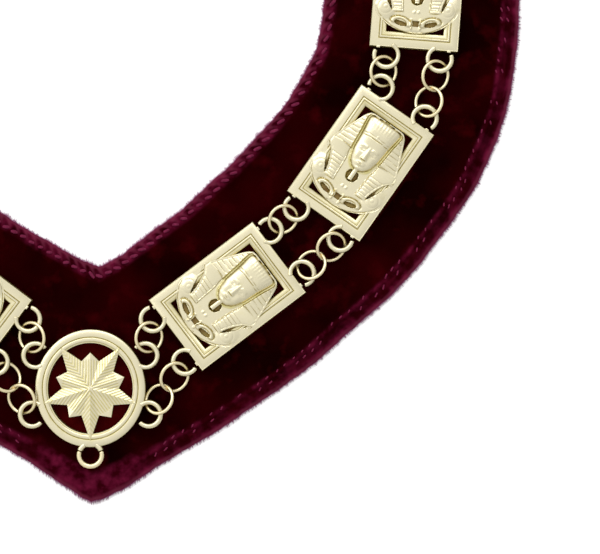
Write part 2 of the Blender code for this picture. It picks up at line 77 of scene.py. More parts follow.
def plaque_lie(node):
    """Turn and place of a plaque, with +Y towards the head, and its width and length."""
    points = node_points(node)
    middle = (points.min(axis=0) + points.max(axis=0)) / 2
    low = points[points[:, 2] < points[:, 2].min() + 0.1 * MM]
    away = low[:, :2] - middle[:2]
    corner = away[np.argmax(np.hypot(*away.T))]
    aside = (np.hypot(*(away - corner).T) > 5 * MM) & (np.hypot(*(away + corner).T) > 5 * MM)
    partner = away[aside][np.argmax(np.hypot(*away[aside].T))]
    sides = [corner - partner, corner + partner]
    sides.sort(key=lambda side: np.hypot(*side))
    width, length = (float(np.hypot(*side)) for side in sides)
    ahead = sides[1] / length
    top = points[points[:, 2].argmax(), :2] - middle[:2]
    if np.dot(top, ahead) < 0:
        ahead = -ahead
    turn = math.atan2(ahead[1], ahead[0]) - math.pi / 2
    place = Matrix.Translation((middle[0], middle[1], 0)) @ Matrix.Rotation(turn, 4, "Z")
    return place, width, length


plaque_names = nodes_named("plaque_")
plaque_lies = {name: plaque_lie(name) for name in plaque_names}
_, plaque_width, plaque_length = plaque_lies[plaque_names[0]]
print("plaque:", round(plaque_width / MM, 2), "x", round(plaque_length / MM, 2), "mm")

# %% [markdown]
# Heights are read the same way. The jump rings and the open loops of the castings lie at one
# height, and the top of each casting's frame just clears their wire.

# %% Heights and the roundel
CLEARANCE = 0.3 * MM
velvet_low, velvet_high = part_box("velvet_collar")
velvet_top = velvet_high.z
roundel_points = node_points("centre_roundel")
metal_low = float(roundel_points[:, 2].min())
rim_points = roundel_points[roundel_points[:, 2] < metal_low + 0.1 * MM]
rim_low = rim_points.min(axis=0)
rim_high = rim_points.max(axis=0)
roundel_place = Vector(((rim_low[0] + rim_high[0]) / 2, (rim_low[1] + rim_high[1]) / 2, 0))
rim_wide = float(rim_high[0] - rim_low[0]) / 2
rim_tall = float(rim_high[1] - rim_low[1]) / 2
jewel_low, jewel_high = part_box("jewel_loop")
loop_height = (jewel_low.z + jewel_high.z) / 2
loop_wire = 2.4 * MM
frame_top = loop_height + loop_wire / 2 + CLEARANCE
heights = [round(value / MM, 2) for value in (velvet_top, loop_height, frame_top)]
print("heights of the velvet, the loops and the frames:", heights, "mm")

# %% [markdown]
# The picture is taken from straight above with the lower right quarter of the collar filling the
# view. A long lens far away gives the same flat look as the studio camera had.

# %% Camera
def add_object(name, data):
    """A new object in the scene, at the origin."""
    made = bpy.data.objects.new(name, data)
    bpy.context.scene.collection.objects.link(made)
    return made


VIEW_WIDTH = 0.300          # of the collar, across the picture
VIEW_MIDDLE = (0.1049, 0.0557)  # from the middle of the roundel
CAMERA_HEIGHT = 1.9
camera_data = bpy.data.cameras.new("studio_camera")
camera = add_object("studio_camera", camera_data)
camera.location = (VIEW_MIDDLE[0], roundel_place.y + VIEW_MIDDLE[1], CAMERA_HEIGHT)
camera_data.lens = camera_data.sensor_width * (CAMERA_HEIGHT - frame_top) / VIEW_WIDTH
bpy.context.scene.camera = camera
print("lens:", round(camera_data.lens, 1), "mm")

# %% [markdown]
# Finishes and light are trees of shader nodes. The same few steps come back in all of them, so
# each step is a helper: feed a socket, read an attribute, add noise, stretch a band of values, or
# mix two colours.

# %% Node helpers
def feed(tree, value, socket):
    """Links another socket to a socket, or sets it to a number or a colour."""
    if isinstance(value, bpy.types.NodeSocket):
        tree.links.new(value, socket)
    else:
        socket.default_value = (*value, 1) if isinstance(value, tuple) else value


def attribute(tree, name):
    node = tree.nodes.new("ShaderNodeAttribute")
    node.attribute_name = name
    return node.outputs["Fac"]


def noise_node(tree, scale, detail=3.0):
    """Soft noise that is fixed to the object."""
    place = tree.nodes.new("ShaderNodeTexCoord")
    noise = tree.nodes.new("ShaderNodeTexNoise")
    noise.inputs["Detail"].default_value = detail
    feed(tree, scale, noise.inputs["Scale"])
    tree.links.new(place.outputs["Object"], noise.inputs["Vector"])
    return noise.outputs["Fac"]


def ramp_node(tree, source, low, high, first=0.0, last=1.0):
    """Stretches a band of values to the range from first to last."""
    ramp = tree.nodes.new("ShaderNodeMapRange")
    ramp.inputs["From Min"].default_value = low
    ramp.inputs["From Max"].default_value = high
    ramp.inputs["To Min"].default_value = first
    ramp.inputs["To Max"].default_value = last
    tree.links.new(source, ramp.inputs["Value"])
    return ramp.outputs[0]


def multiply_add(tree, value, factor, added):
    node = tree.nodes.new("ShaderNodeMath")
    node.operation = "MULTIPLY_ADD"
    for socket, source in zip(node.inputs, (value, factor, added)):
        feed(tree, source, socket)
    return node.outputs[0]


def mix_colours(tree, factor, first, second):
    mix = tree.nodes.new("ShaderNodeMix")
    mix.data_type = "RGBA"
    tree.links.new(factor, mix.inputs["Factor"])
    for socket, value in (("A", first), ("B", second)):
        colour = [item for item in mix.inputs if item.name == socket and item.type == "RGBA"]
        feed(tree, value, colour[0])
    return [item for item in mix.outputs if item.type == "RGBA"][0]


def new_material(name, values):
    """A material, its node tree and its shader, with some of the shader's values set."""
    material = bpy.data.materials.new(name)
    material.use_nodes = True
    shader = material.node_tree.nodes["Principled BSDF"]
    for socket, value in values.items():
        feed(material.node_tree, value, shader.inputs[socket])
    return material, material.node_tree, shader


# %% [markdown]
# The light is a white room. One soft lamp stands at the upper left and a second one beyond the top
# of the picture, and the dome over the table is bright on that side and dim on the other. Polished
# metal shows only what it reflects, so this slow change from bright to dim models the castings.

# %% Floor, lamps and dome
bpy.context.scene.view_settings.view_transform = "Standard"
floor_mesh = bpy.data.meshes.new("studio_floor")
bm = bmesh.new()
bmesh.ops.create_grid(bm, x_segments=1, y_segments=1, size=3.0)
bm.to_mesh(floor_mesh)
bm.free()
floor = add_object("studio_floor", floor_mesh)
paper, _, _ = new_material("studio_paper", {"Base Color": (0.95, 0.95, 0.95), "Roughness": 0.9})
floor_mesh.materials.append(paper)


def add_lamp(name, place, aim, size, power):
    """A soft square lamp that looks at a point."""
    data = bpy.data.lights.new(name, "AREA")
    data.shape = "SQUARE"
    data.size = size
    data.energy = power
    lamp = add_object(name, data)
    lamp.location = place
    lamp.rotation_euler = (Vector(aim) - Vector(place)).to_track_quat("-Z", "Y").to_euler()


middle = (VIEW_MIDDLE[0], roundel_place.y + VIEW_MIDDLE[1], 0)
add_lamp("key_lamp", (-0.95, 0.75, 1.25), middle, 1.2, 9)
add_lamp("fill_lamp", (0.35, 1.4, 1.5), middle, 1.0, 10)
world = bpy.data.worlds.new("white_room")
bpy.context.scene.world = world
world.use_nodes = True
tree = world.node_tree
dome = tree.nodes["Background"]
dome.inputs["Color"].default_value = (1, 1, 1, 1)
direction = tree.nodes.new("ShaderNodeTexCoord")
towards = tree.nodes.new("ShaderNodeVectorMath")
towards.operation = "DOT_PRODUCT"
towards.inputs[1].default_value = (-0.62, 0.58, 0.53)
tree.links.new(direction.outputs["Generated"], towards.inputs[0])
glow = ramp_node(tree, towards.outputs["Value"], -0.35, 0.95, 0.82, 1.34)
tree.links.new(glow, dome.inputs["Strength"])
print("lamps over the table, dome from 0.82 to 1.34")

# %% [markdown]
# ## Finishes
#
# Two effects are used by more than one finish, so each is a node group. The first is painted shade:
# it darkens and browns the hollows of a casting, which are marked in a mesh attribute, with noise to
# make it uneven, and leaves the raised parts bright. It also makes the hollows a little rougher.

# %% Effect: painted shade in the hollows
def new_group(name, inputs, outputs):
    group = bpy.data.node_groups.new(name, "ShaderNodeTree")
    for socket, kind, value in inputs:
        made = group.interface.new_socket(socket, in_out="INPUT", socket_type=kind)
        made.default_value = value
    for socket, kind in outputs:
        group.interface.new_socket(socket, in_out="OUTPUT", socket_type=kind)
    return group, group.nodes.new("NodeGroupInput"), group.nodes.new("NodeGroupOutput")


hollow_shade, start, end = new_group(
    "hollow_shade",
    [
        ("Bright", "NodeSocketColor", (1, 1, 1, 1)),
        ("Warm", "NodeSocketColor", (1, 1, 1, 1)),
        ("Dark", "NodeSocketColor", (0, 0, 0, 1)),
        ("Hollow", "NodeSocketFloat", 0.0),
    ],
    [("Color", "NodeSocketColor"), ("Roughness", "NodeSocketFloat")],
)
# painted shade: the hollows are darkened and browned in the colour, made uneven by noise
uneven = multiply_add(hollow_shade, noise_node(hollow_shade, 260.0, 4.0), 0.5, start.outputs["Hollow"])
warm_band = ramp_node(hollow_shade, uneven, 0.28, 0.75)
dark_band = ramp_node(hollow_shade, uneven, 0.65, 1.35)
warmed = mix_colours(hollow_shade, warm_band, start.outputs["Bright"], start.outputs["Warm"])
darkened = mix_colours(hollow_shade, dark_band, warmed, start.outputs["Dark"])
hollow_shade.links.new(darkened, end.inputs["Color"])
hollow_shade.links.new(ramp_node(hollow_shade, uneven, 0.2, 1.1, 0.31, 0.55), end.inputs["Roughness"])
print("tarnish nodes:", len(hollow_shade.nodes))

# %% [markdown]
# The second effect breaks a surface up with noise of two sizes, as a bump under the light. Soft
# polished metal has it, and so have the tips of a pile.

# %% Effect: fine grain
fine_grain, start, end = new_group(
    "fine_grain",
    [("Coarse", "NodeSocketFloat", 900.0), ("Fine", "NodeSocketFloat", 4000.0)],
    [("Height", "NodeSocketFloat")],
)
coarse = noise_node(fine_grain, start.outputs["Coarse"])
fine = noise_node(fine_grain, start.outputs["Fine"])
fine_grain.links.new(multiply_add(fine_grain, fine, 0.35, coarse), end.inputs["Height"])


def add_grain(tree, shader, strength, depth, coarse_scale=900.0, fine_scale=4000.0):
    """Turns the grain into a bump on a shader's surface."""
    grain = tree.nodes.new("ShaderNodeGroup")
    grain.node_tree = fine_grain
    grain.inputs["Coarse"].default_value = coarse_scale
    grain.inputs["Fine"].default_value = fine_scale
    relief = tree.nodes.new("ShaderNodeBump")
    relief.inputs["Strength"].default_value = strength
    relief.inputs["Distance"].default_value = depth
    tree.links.new(grain.outputs["Height"], relief.inputs["Height"])
    tree.links.new(relief.outputs["Normal"], shader.inputs["Normal"])


print("grain nodes:", len(fine_grain.nodes))

# %% [markdown]
# The metal is a pale champagne gilding. The castings take the painted shade of their hollows from
# the attribute `recess`; the drawn wire of the rings has none, and is a little smoother and warmer.
# Where it is seen at a slant, an olive colour is painted in: a painted reflection of the metal itself
# and its dark surroundings.

# %% Finish: gilt metal
def gilt_material(name, bright, warm, dark, painted_slant_reflection, bump):
    material, tree, shader = new_material(name, {"Metallic": 1.0})
    colour = tree.nodes.new("ShaderNodeGroup")
    colour.node_tree = hollow_shade
    for socket, value in (("Bright", bright), ("Warm", warm), ("Dark", dark)):
        feed(tree, value, colour.inputs[socket])
    tree.links.new(attribute(tree, "recess"), colour.inputs["Hollow"])
    # painted reflection: the colour turns olive where the metal is seen at a slant
    slant = tree.nodes.new("ShaderNodeLayerWeight")
    slant.inputs["Blend"].default_value = 0.5
    slant_band = ramp_node(tree, slant.outputs["Facing"], 0.12, 0.85)
    shaded = mix_colours(tree, slant_band, colour.outputs["Color"], painted_slant_reflection)
    tree.links.new(shaded, shader.inputs["Base Color"])
    tree.links.new(colour.outputs["Roughness"], shader.inputs["Roughness"])
    add_grain(tree, shader, bump, 0.05 * MM)
    return material


gilt_cast = gilt_material(
    "gilt_cast", (0.655, 0.600, 0.415), (0.50, 0.44, 0.15), (0.14, 0.080, 0.03), (0.42, 0.34, 0.10), 0.6
)
gilt_wire = gilt_material(
    "gilt_wire", (0.74, 0.650, 0.42), (0.60, 0.49, 0.23), (0.28, 0.17, 0.07), (0.46, 0.33, 0.11), 0.35
)
print("gilt finishes:", gilt_cast.name, gilt_wire.name)

# %% [markdown]
# Velvet is dark where the eye looks down into the pile and bright where it looks along it, so the
# shader's sheen does much of the work. Soft clouds and patches of colour stand for pile brushed
# this way and that. The attribute `hem` marks the rolled edges, where a paler painted sheen is mixed
# into the colour, with a painted highlight at the very edge. A second attribute marks the pile inside
# the castings, where a redder glow is painted in, a painted reflection of the gilding.

# %% Finish: velvet
velvet, tree, shader = new_material(
    "burgundy_velvet", {"Roughness": 0.95, "Specular IOR Level": 0.0, "Sheen Roughness": 0.25}
)
hem = attribute(tree, "hem")
cloud_band = ramp_node(tree, noise_node(tree, 26.0, 4.0), 0.36, 0.70)
patch_band = ramp_node(tree, noise_node(tree, 85.0, 4.0), 0.52, 0.74)
streak_band = ramp_node(tree, noise_node(tree, 170.0, 5.0), 0.40, 0.72)
brushed = mix_colours(tree, cloud_band, (0.004, 0.0001, 0.0001), (0.015, 0.0001, 0.0004))
patchy = mix_colours(tree, patch_band, brushed, (0.025, 0.0003, 0.0010))
# painted sheen: the lighter crimson colour of the rolled hems
painted_hem_sheen = mix_colours(tree, streak_band, (0.022, 0.0002, 0.0022), (0.098, 0.0050, 0.022))
pile = mix_colours(tree, hem, patchy, painted_hem_sheen)
# painted highlight: a pale band at the very edge of the pile
edge_highlight_band = ramp_node(tree, hem, 1.0, 2.0)
pile = mix_colours(tree, edge_highlight_band, pile, (0.150, 0.024, 0.050))
# painted reflection: a redder glow from the gilding, on the pile under the castings
painted_glow_colour = mix_colours(tree, patch_band, (0.050, 0.0012, 0.0016), (0.085, 0.0030, 0.0030))
pile = mix_colours(tree, attribute(tree, "capped_relief_and_painted_glow"), pile, painted_glow_colour)
tree.links.new(pile, shader.inputs["Base Color"])
gleam = mix_colours(tree, hem, (0.75, 0.02, 0.06), (0.75, 0.10, 0.42))
tree.links.new(gleam, shader.inputs["Sheen Tint"])
tree.links.new(ramp_node(tree, hem, 0.0, 1.0, 0.16, 0.45), shader.inputs["Sheen Weight"])
add_grain(tree, shader, 0.8, 0.35 * MM, 350.0, 2200.0)
print("velvet nodes:", len(tree.nodes))

# %% [markdown]
# The sewing thread is dyed to match and lies a shade lighter than the pile. Single hairs at the
# edge are lit through by the paper behind them, and that backlight is painted into their colour,
# which is paler still.

# %% Finishes: thread and loose pile
thread, tree, shader = new_material(
    "burgundy_thread", {"Roughness": 0.9, "Specular IOR Level": 0.02}
)
dyed = mix_colours(tree, noise_node(tree, 700.0, 2.0), (0.050, 0.004, 0.012), (0.190, 0.022, 0.062))
tree.links.new(dyed, shader.inputs["Base Color"])
# painted backlight: the hairs' colour is made paler
loose_pile, _, _ = new_material(
    "burgundy_hairs",
    {
        "Base Color": (0.17, 0.030, 0.095),
        "Roughness": 0.95,
        "Specular IOR Level": 0.0,
        "Sheen Weight": 0.5,
        "Sheen Tint": (0.8, 0.4, 0.65),
    },
)
print("finishes:", [item.name for item in (gilt_cast, gilt_wire, velvet, thread, loose_pile)])

# %% [markdown]
# ## Ways of shaping
#
# Many surfaces here are a sheet bent into place: the velvet is a sheet rolled round the band's
# cross-section, and a relief is a sheet of polar rings pushed up and down. So one helper makes a
# grid with `create_grid`, moves its points by a rule, and welds the seam and the poles.

# %% Helper: a bent and welded grid
def bent_sheet(columns, rows, rule, mark="recess"):
    """A bmesh grid whose points are placed by rule(across, along), both from 0 to 1.
    The rule gives an array of places and an array of values for the mark."""
    bm = bmesh.new()
    bmesh.ops.create_grid(bm, x_segments=columns, y_segments=rows, size=0.5)
    flat = np.array([vert.co[:2] for vert in bm.verts]) + 0.5
    places, marks = rule(flat[:, 0], flat[:, 1])
    layer = bm.verts.layers.float.new(mark)
    for vert, place, value in zip(bm.verts, places.tolist(), marks.tolist()):
        vert.co = place
        vert[layer] = value
    bmesh.ops.remove_doubles(bm, verts=bm.verts, dist=0.002 * MM)
    bmesh.ops.recalc_face_normals(bm, faces=bm.faces)
    return bm


def tube_rule(across, along):
    turn = across * 2 * math.pi
    return np.stack([np.cos(turn), np.sin(turn), along], axis=1), along


tube = bent_sheet(12, 1, tube_rule)
print("13 x 2 points rolled into a tube and welded:", len(tube.verts))
tube.free()

# %% Helper: meshes and pieces
def finish_mesh(bm, name, material, sharp=None):
    """Turns a bmesh into a smooth mesh with one material."""
    mesh = bpy.data.meshes.new(name)
    bm.to_mesh(mesh)
    bm.free()
    mesh.materials.append(material)
    mesh.shade_smooth()
    if sharp is not None:
        mesh.set_sharp_from_angle(angle=math.radians(sharp))
    return mesh


def round_edges(bm, edges, offset):
    bmesh.ops.bevel(
        bm, geom=edges, offset=offset, offset_type="OFFSET", segments=3, profile=0.5,
        affect="EDGES", material=-1,
    )


def add_bmesh(target, source, matrix=Matrix.Identity(4)):
    """Moves one bmesh into another, turned and placed."""
    bmesh.ops.transform(source, matrix=matrix, verts=source.verts)
    mesh = bpy.data.meshes.new("moved")
    source.to_mesh(mesh)
    source.free()
    target.from_mesh(mesh)
    bpy.data.meshes.remove(mesh)


def add_piece(name, mesh, slot, *nodes):
    """Puts a finished mesh in the scene as a piece that stands for some solids."""
    piece = add_object(name, mesh)
    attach(piece, "root")
    if nodes:
        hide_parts(*nodes)
    return piece


# %% [markdown]
# All rules are written with whole arrays of numbers, and from the same few soft forms: a smooth
# step, a line, a round hill, and a curve read off a table.

# %% Helper: soft forms
def soft_step(value, low, high):
    """0 below low, 1 above high, and a smooth rise between."""
    share = np.clip((value - low) / (high - low), 0, 1)
    return share * share * (3 - 2 * share)


def look_up(table, value, column=1, unit=1.0):
    """A column of a table of rows, read between its rows by their first entry."""
    table = np.array(table) * unit
    return np.interp(value, table[:, 0], table[:, column])


def line_cut(value, width):
    """1 along a line and 0 beyond its width, with soft sides."""
    return np.exp(-(value / (width / 2)) ** 2)


def bump_at(u, v, across, along, half_wide, half_long):
    """A round hill of height 1 at a place, gone at its edge."""
    distance = np.hypot((u - across) / half_wide, (v - along) / half_long)
    return np.cos(np.clip(distance, 0, 1) * math.pi / 2) ** 2


print("a quarter of the way along a soft step:", soft_step(0.25, 0, 1))

# %% [markdown]
# ## The velvet collar
#
# The band follows the chain: straight from the point of the V, then along the breast, then round
# the neck. At the V its sections fan out from the mitre. Its two edges are turned under and
# rolled, and rows of hand stitches pull small dimples into the pile.

# %% The collar's run
COLLAR_WIDTH = 101 * MM
FRONT_SLOPE = math.radians(33.9)
BREAST_RADIUS = 200.6 * MM
# Extra reach of the cloth beyond half its width, as it lies, in millimetres. Each row: length along
# the run, then the reach to the neck and away from it on the right arm, and the same on the left
COLLAR_EASE = [
    (0, 1.1, -1.8, 1.1, -1.8), (7, -2.2, -0.7, 0.5, -2.2), (14, -3.2, 0.5, 0.0, -1.9),
    (22, -3.3, 0.9, -0.6, -2.3), (30, -3.5, 1.2, -0.9, -2.3), (40, -2.8, 1.6, -1.5, -1.6),
    (50, -2.8, 2.5, -2.0, 0.0), (85, -1.5, 2.9, -2.8, 2.9), (115, 0.9, 0.2, 0.9, 0.2),
    (140, 0.7, 2.1, 0.7, 2.1), (165, -0.7, 2.9, -0.7, 2.9), (190, -3.4, 5.5, -3.4, 5.5),
    (225, -6.0, 5.9, -6.0, 5.9), (250, -5.2, 2.6, -5.2, 2.6), (270, -4.0, 0.8, -4.0, 0.8),
    (288, -2.0, 0.0, -2.0, 0.0), (320, 0.0, 0.0, 0.0, 0.0),
]
back_radius = velvet_high.x - COLLAR_WIDTH / 2
neck_y = velvet_high.y - COLLAR_WIDTH / 2 - back_radius
arm_straight = back_radius - BREAST_RADIUS * (1 - math.sin(FRONT_SLOPE))
arm_straight = arm_straight / math.cos(FRONT_SLOPE)
breast_run = BREAST_RADIUS * (math.pi / 2 - FRONT_SLOPE)
breast_end = roundel_place.y + arm_straight * math.sin(FRONT_SLOPE)
breast_end = breast_end + BREAST_RADIUS * math.cos(FRONT_SLOPE)
shoulder_run = neck_y - breast_end
half_run = arm_straight + breast_run + shoulder_run + back_radius * math.pi / 2
print("half of the chain's run:", round(half_run, 4), "shoulder", round(shoulder_run, 4))


# %% [markdown]
# Any place beside the run follows from two numbers: the way travelled from the point of the V, and
# the distance aside. On the straight part of an arm the cross-sections fan out from the mitre.

# %% Places beside the run
def run_points(travel, aside):
    """Places beside the run up the right arm. aside is positive away from the neck."""
    on_arc = np.clip(travel - arm_straight, 0, breast_run)
    on_side = np.clip(travel - arm_straight - breast_run, 0, shoulder_run)
    on_back = np.clip(travel - arm_straight - breast_run - shoulder_run, 0, None)
    heading = FRONT_SLOPE + on_arc / BREAST_RADIUS + on_back / back_radius
    breast_heading = FRONT_SLOPE + on_arc / BREAST_RADIUS
    straight = np.minimum(travel, arm_straight)
    x = straight * math.cos(FRONT_SLOPE)
    x = x + BREAST_RADIUS * (np.sin(breast_heading) - math.sin(FRONT_SLOPE))
    y = straight * math.sin(FRONT_SLOPE) + on_side
    y = y + BREAST_RADIUS * (math.cos(FRONT_SLOPE) - np.cos(breast_heading))
    turn = on_back / back_radius
    x = x - back_radius * (1 - np.cos(turn))
    y = y + back_radius * np.sin(turn)
    square = np.stack([x + aside * np.sin(heading), y - aside * np.cos(heading)], axis=-1)
    end_x = arm_straight * math.cos(FRONT_SLOPE) + aside * math.sin(FRONT_SLOPE)
    end_y = arm_straight * math.sin(FRONT_SLOPE) - aside * math.cos(FRONT_SLOPE)
    share = np.clip(travel / arm_straight, 0, 1)
    mitre_y = -aside / math.cos(FRONT_SLOPE)
    fanned = np.stack([share * end_x, mitre_y + share * (end_y - mitre_y)], axis=-1)
    on_arm = (travel < arm_straight)[..., None]
    return np.where(on_arm, fanned, square) + np.array([0, roundel_place.y])


print("middle of the back:", run_points(np.array([half_run]), 0.0).round(4))

# %% [markdown]
# The cloth doesn't lie dead flat. Its soft waves are a sum of a few long sine waves: unlike random
# numbers, that is the same in every run and closes on itself where the collar's ends meet.

# %% The velvet's waves and hems
HEM_PITCH = 5.4 * MM        # between two stitches along an edge
INNER_STITCH = 4.2 * MM     # from the inner edge to its row of stitches
OUTER_STITCH = 8.4 * MM     # from the outer edge to its first row
OUTER_SECOND = 5.6 * MM     # and to the second
EDGE_ROLL = 2.6 * MM        # width over which an edge rounds off
EDGE_ZONE = 12 * MM         # nearer than this, places keep their way from the edge
STITCH_DEPTH = 0.8 * MM
PUCKER_DEPTH = 0.35 * MM
PLAIN_TIP = 27 * MM         # no stitches show so near the point of the V
TIP_WEAR = 1.5 * MM
PILE_DROP = 0.25 * MM       # of the plain pile under the solid's top
inner_length = 2 * (half_run - math.pi * COLLAR_WIDTH / 2)
outer_length = 2 * (half_run + math.pi * COLLAR_WIDTH / 2)
inner_stitches = round(inner_length / HEM_PITCH)
outer_stitches = round(outer_length / HEM_PITCH)
PLAN_WAVES = [
    (23, 0.0, 0.4, 0.22), (57, 0.0, 1.9, 0.10), (118, 0.0, 4.0, 0.10), (263, 0, 1, 0.08),
]
TOP_WAVES = [(9, 0.6, 0.3, 0.10), (17, -0.8, 2.1, 0.08), (31, 1.3, 4.4, 0.06)]


def cloth_wave(run_share, side, waves):
    """Gentle, closed waves: each row is turns round the loop, turns across, phase and size."""
    total = np.zeros_like(run_share)
    for turns, across, phase, size in waves:
        total += size * np.sin(2 * math.pi * (turns * run_share + across * side) + phase)
    return total


print("stitches on the inner and outer edge:", inner_stitches, outer_stitches)

# %% [markdown]
# The cloth's own edge follows the run at half the band's width, more or less by the ease. Near an
# edge all places keep their distance from it, so that the hems stay even, and the plain pile
# between takes up the difference. The outer point of the V is worn a little blunt.

# %% Places on the collar
def collar_half(travel, away, left):
    """Reach of the cloth from the run, on the neck's side or away from it."""
    eases = [look_up(COLLAR_EASE, travel, column, MM) for column in (1, 2, 3, 4)]
    right_ease = np.where(away, eases[1], eases[0])
    left_ease = np.where(away, eases[3], eases[2])
    return COLLAR_WIDTH / 2 + np.where(left, left_ease, right_ease)


def collar_points(along, edge, inset):
    """Places on the collar, once round it: a distance in from the neck's edge (-1) or the other."""
    travel = np.where(along <= 0.5, along, 1 - along) * 2 * half_run
    half = collar_half(travel, edge > 0, along > 0.5)
    near = np.minimum(inset, EDGE_ZONE)
    shrink = (half - near) / (COLLAR_WIDTH / 2 - near)
    reach = np.where(inset < EDGE_ZONE, half - inset, (COLLAR_WIDTH / 2 - inset) * shrink)
    places = run_points(travel, edge * reach)
    outward = np.clip(edge * reach / half, 0, 1) ** 4
    worn = TIP_WEAR * line_cut(travel, 7.0 * MM) * outward
    arm = np.where(along <= 0.5, 1.0, -1.0)
    return places[:, 0] * arm, places[:, 1] + worn


tip_x, tip_y = collar_points(np.zeros(1), np.ones(1), np.zeros(1))
print("outer point of the V:", tip_x.round(4), tip_y.round(4))

# %% [markdown]
# Across a hem the pile rises and falls: puffed up by the turned edge, dimpled at each stitch, and
# on the neck's side puckered aslant. The same rule gives the mark for the hem's painted sheen, which
# fades towards the plain pile. A mark over 1 is a painted highlight at the very edge.

# %% Height and colour of the hems
def hem_profile(inset, side, along):
    """Height of the pile and share of painted hem sheen, at a distance from the nearer edge."""
    outer = side > 0
    count = np.where(outer, outer_stitches, inner_stitches)
    phase = np.cos(2 * math.pi * count * along)
    travel = np.minimum(along, 1 - along) * 2 * half_run
    plain = np.where(outer, soft_step(travel, 0.6 * PLAIN_TIP, PLAIN_TIP), 1.0)
    line = np.where(outer, OUTER_STITCH, INNER_STITCH)
    seam = line_cut(inset - line, 1.8 * MM) * (0.5 + 0.5 * phase)
    seam = seam * np.where(outer, 1.0, 0.5)
    second = line_cut(inset - OUTER_SECOND, 1.6 * MM) * outer * 0.7
    puff = line_cut(inset - 0.45 * line, 3.0 * MM) * 0.30 * MM
    puff = puff + line_cut(inset - 7.6 * MM, 1.6 * MM) * outer * 0.20 * MM
    height = puff - (seam + second) * plain * STITCH_DEPTH
    pucker = 0.5 + 0.5 * np.cos(2 * math.pi * (inner_stitches * along - inset / (7 * MM) - 0.35))
    pucker = pucker * ~outer * soft_step(inset, 0.6 * MM, 2.0 * MM)
    pucker = pucker * (1 - soft_step(inset, 4.5 * MM, 7.0 * MM))
    height = height - PUCKER_DEPTH * pucker
    # painted sheen of the hem: less in the puckers, and on the outer side dimmer beyond the rolled edge
    reach = np.where(outer, (10.2 + 4.0 * line_cut(travel, 52 * MM)) * MM, 7.4 * MM)
    fade = 1 - soft_step(inset, reach * np.where(outer, 0.8, 0.55), reach)
    pinch = 0.40 * line_cut(inset - 8.0 * MM, 2.6 * MM)
    dim = (0.72 * soft_step(inset, 2.0 * MM, 4.0 * MM) - pinch) * plain
    tint = fade * np.where(outer, 1.0 - dim, 1.1 - 0.55 * pucker)
    # painted highlight at the very edge
    edge_reach = np.where(outer, 2.6 * MM, 4.8 * MM)
    painted_edge_highlight = np.where(outer, 0.5, 0.36) * (1 - soft_step(inset, 0.5 * MM, edge_reach))
    return height, tint + painted_edge_highlight


dimple, _ = hem_profile(np.array([INNER_STITCH]), np.array([-1.0]), np.zeros(1))
print("pile at an inner stitch:", (dimple / MM).round(2), "mm")

# %% [markdown]
# The whole cross-section is one closed loop: most of it is the pile on top, and the rest the plain
# underside. More columns lie near the edges, where the form changes most.

# %% The velvet's cross-section
TOP_SHARE = 0.85            # of the loop's columns, for the pile on top
EDGE_LEVEL = 0.9 * MM       # height at which the upper and the lower side meet
# The share of the grid's columns against the distance from an edge, in millimetres
COLUMN_TABLE = [(0.0, 0.0), (0.10, 1.6), (0.34, 11.0), (0.5, COLLAR_WIDTH / 2 / MM)]


def velvet_rule(around, along):
    """around goes once about the cross-section, along goes once round the collar."""
    top = around <= TOP_SHARE
    share = np.where(top, around / TOP_SHARE, (1 - around) / (1 - TOP_SHARE))
    inset = look_up(COLUMN_TABLE, np.minimum(share, 1 - share)) * MM
    edge = np.where(share > 0.5, 1.0, -1.0)
    half = COLLAR_WIDTH / 2
    side = edge * (1 - inset / half)
    wave = cloth_wave(along, 0 * side, PLAN_WAVES) * MM
    shift = wave * np.abs(side) ** 6
    rolled = np.sqrt(np.clip(1 - (1 - np.clip(inset / EDGE_ROLL, 0, 1)) ** 2, 0, 1))
    hem_height, tint = hem_profile(inset, side, along)
    waves = cloth_wave(along, side, TOP_WAVES) * MM
    outside = soft_step(np.abs(side), 0.55, 0.85)
    height = velvet_top - PILE_DROP + waves * (0.35 + outside) + hem_height
    height = np.where(np.abs(side) < 0.6, np.minimum(height, velvet_top), height)
    upper = EDGE_LEVEL + (height - EDGE_LEVEL) * rolled
    lower = EDGE_LEVEL * (1 - rolled)
    z = np.where(top, upper, lower)
    x, y = collar_points(along, edge, inset - shift)
    return np.stack([x, y, z], axis=1), np.where(top, tint, 1.0)


print("columns, from an edge:", look_up(COLUMN_TABLE, np.linspace(0, 0.5, 6)).round(1), "mm")

# %% [markdown]
# Under the windows of the castings a redder glow is painted into the pile, a painted reflection of
# the gilding. Those places are marked in a second attribute.

# %% The velvet's mesh
def mark_painted_glow(mesh):
    """Marks the pile inside the outlines of the castings, and gives the share that is marked."""
    points = mesh_points(mesh)
    around = points[:, :2] - np.array(roundel_place.xy)
    inside = np.hypot(around[:, 0] / rim_wide, around[:, 1] / rim_tall) < 0.95
    for place, _, _ in plaque_lies.values():
        back = np.array(place.inverted())
        local = points @ back[:3, :3].T + back[:3, 3]
        within = np.abs(local[:, :2]) < np.array([plaque_width, plaque_length]) * 0.47
        inside |= within.all(axis=1)
    # marks where the painted glow goes
    layer = mesh.attributes.new("capped_relief_and_painted_glow", "FLOAT", "POINT")
    layer.data.foreach_set("value", inside.astype(np.float32))
    return inside.mean()


bm = bent_sheet(98, 1000, velvet_rule, "hem")
velvet_mesh = finish_mesh(bm, "velvet", velvet)
painted_glow_share = mark_painted_glow(velvet_mesh)
collar = add_piece("velvet_band", velvet_mesh, "velvet", "velvet_collar")
print("velvet faces:", len(velvet_mesh.polygons), "pressed:", round(float(painted_glow_share), 3))

# %% [markdown]
# Loose pile stands off the rolled edges. It is a comb: a strip folded along its length, whose fold
# runs in and out as fine teeth. The two sides of the strip start inside the cloth.

# %% Pile along the edges
TOOTH_PITCH = 0.60 * MM
chance = np.random.RandomState(5)


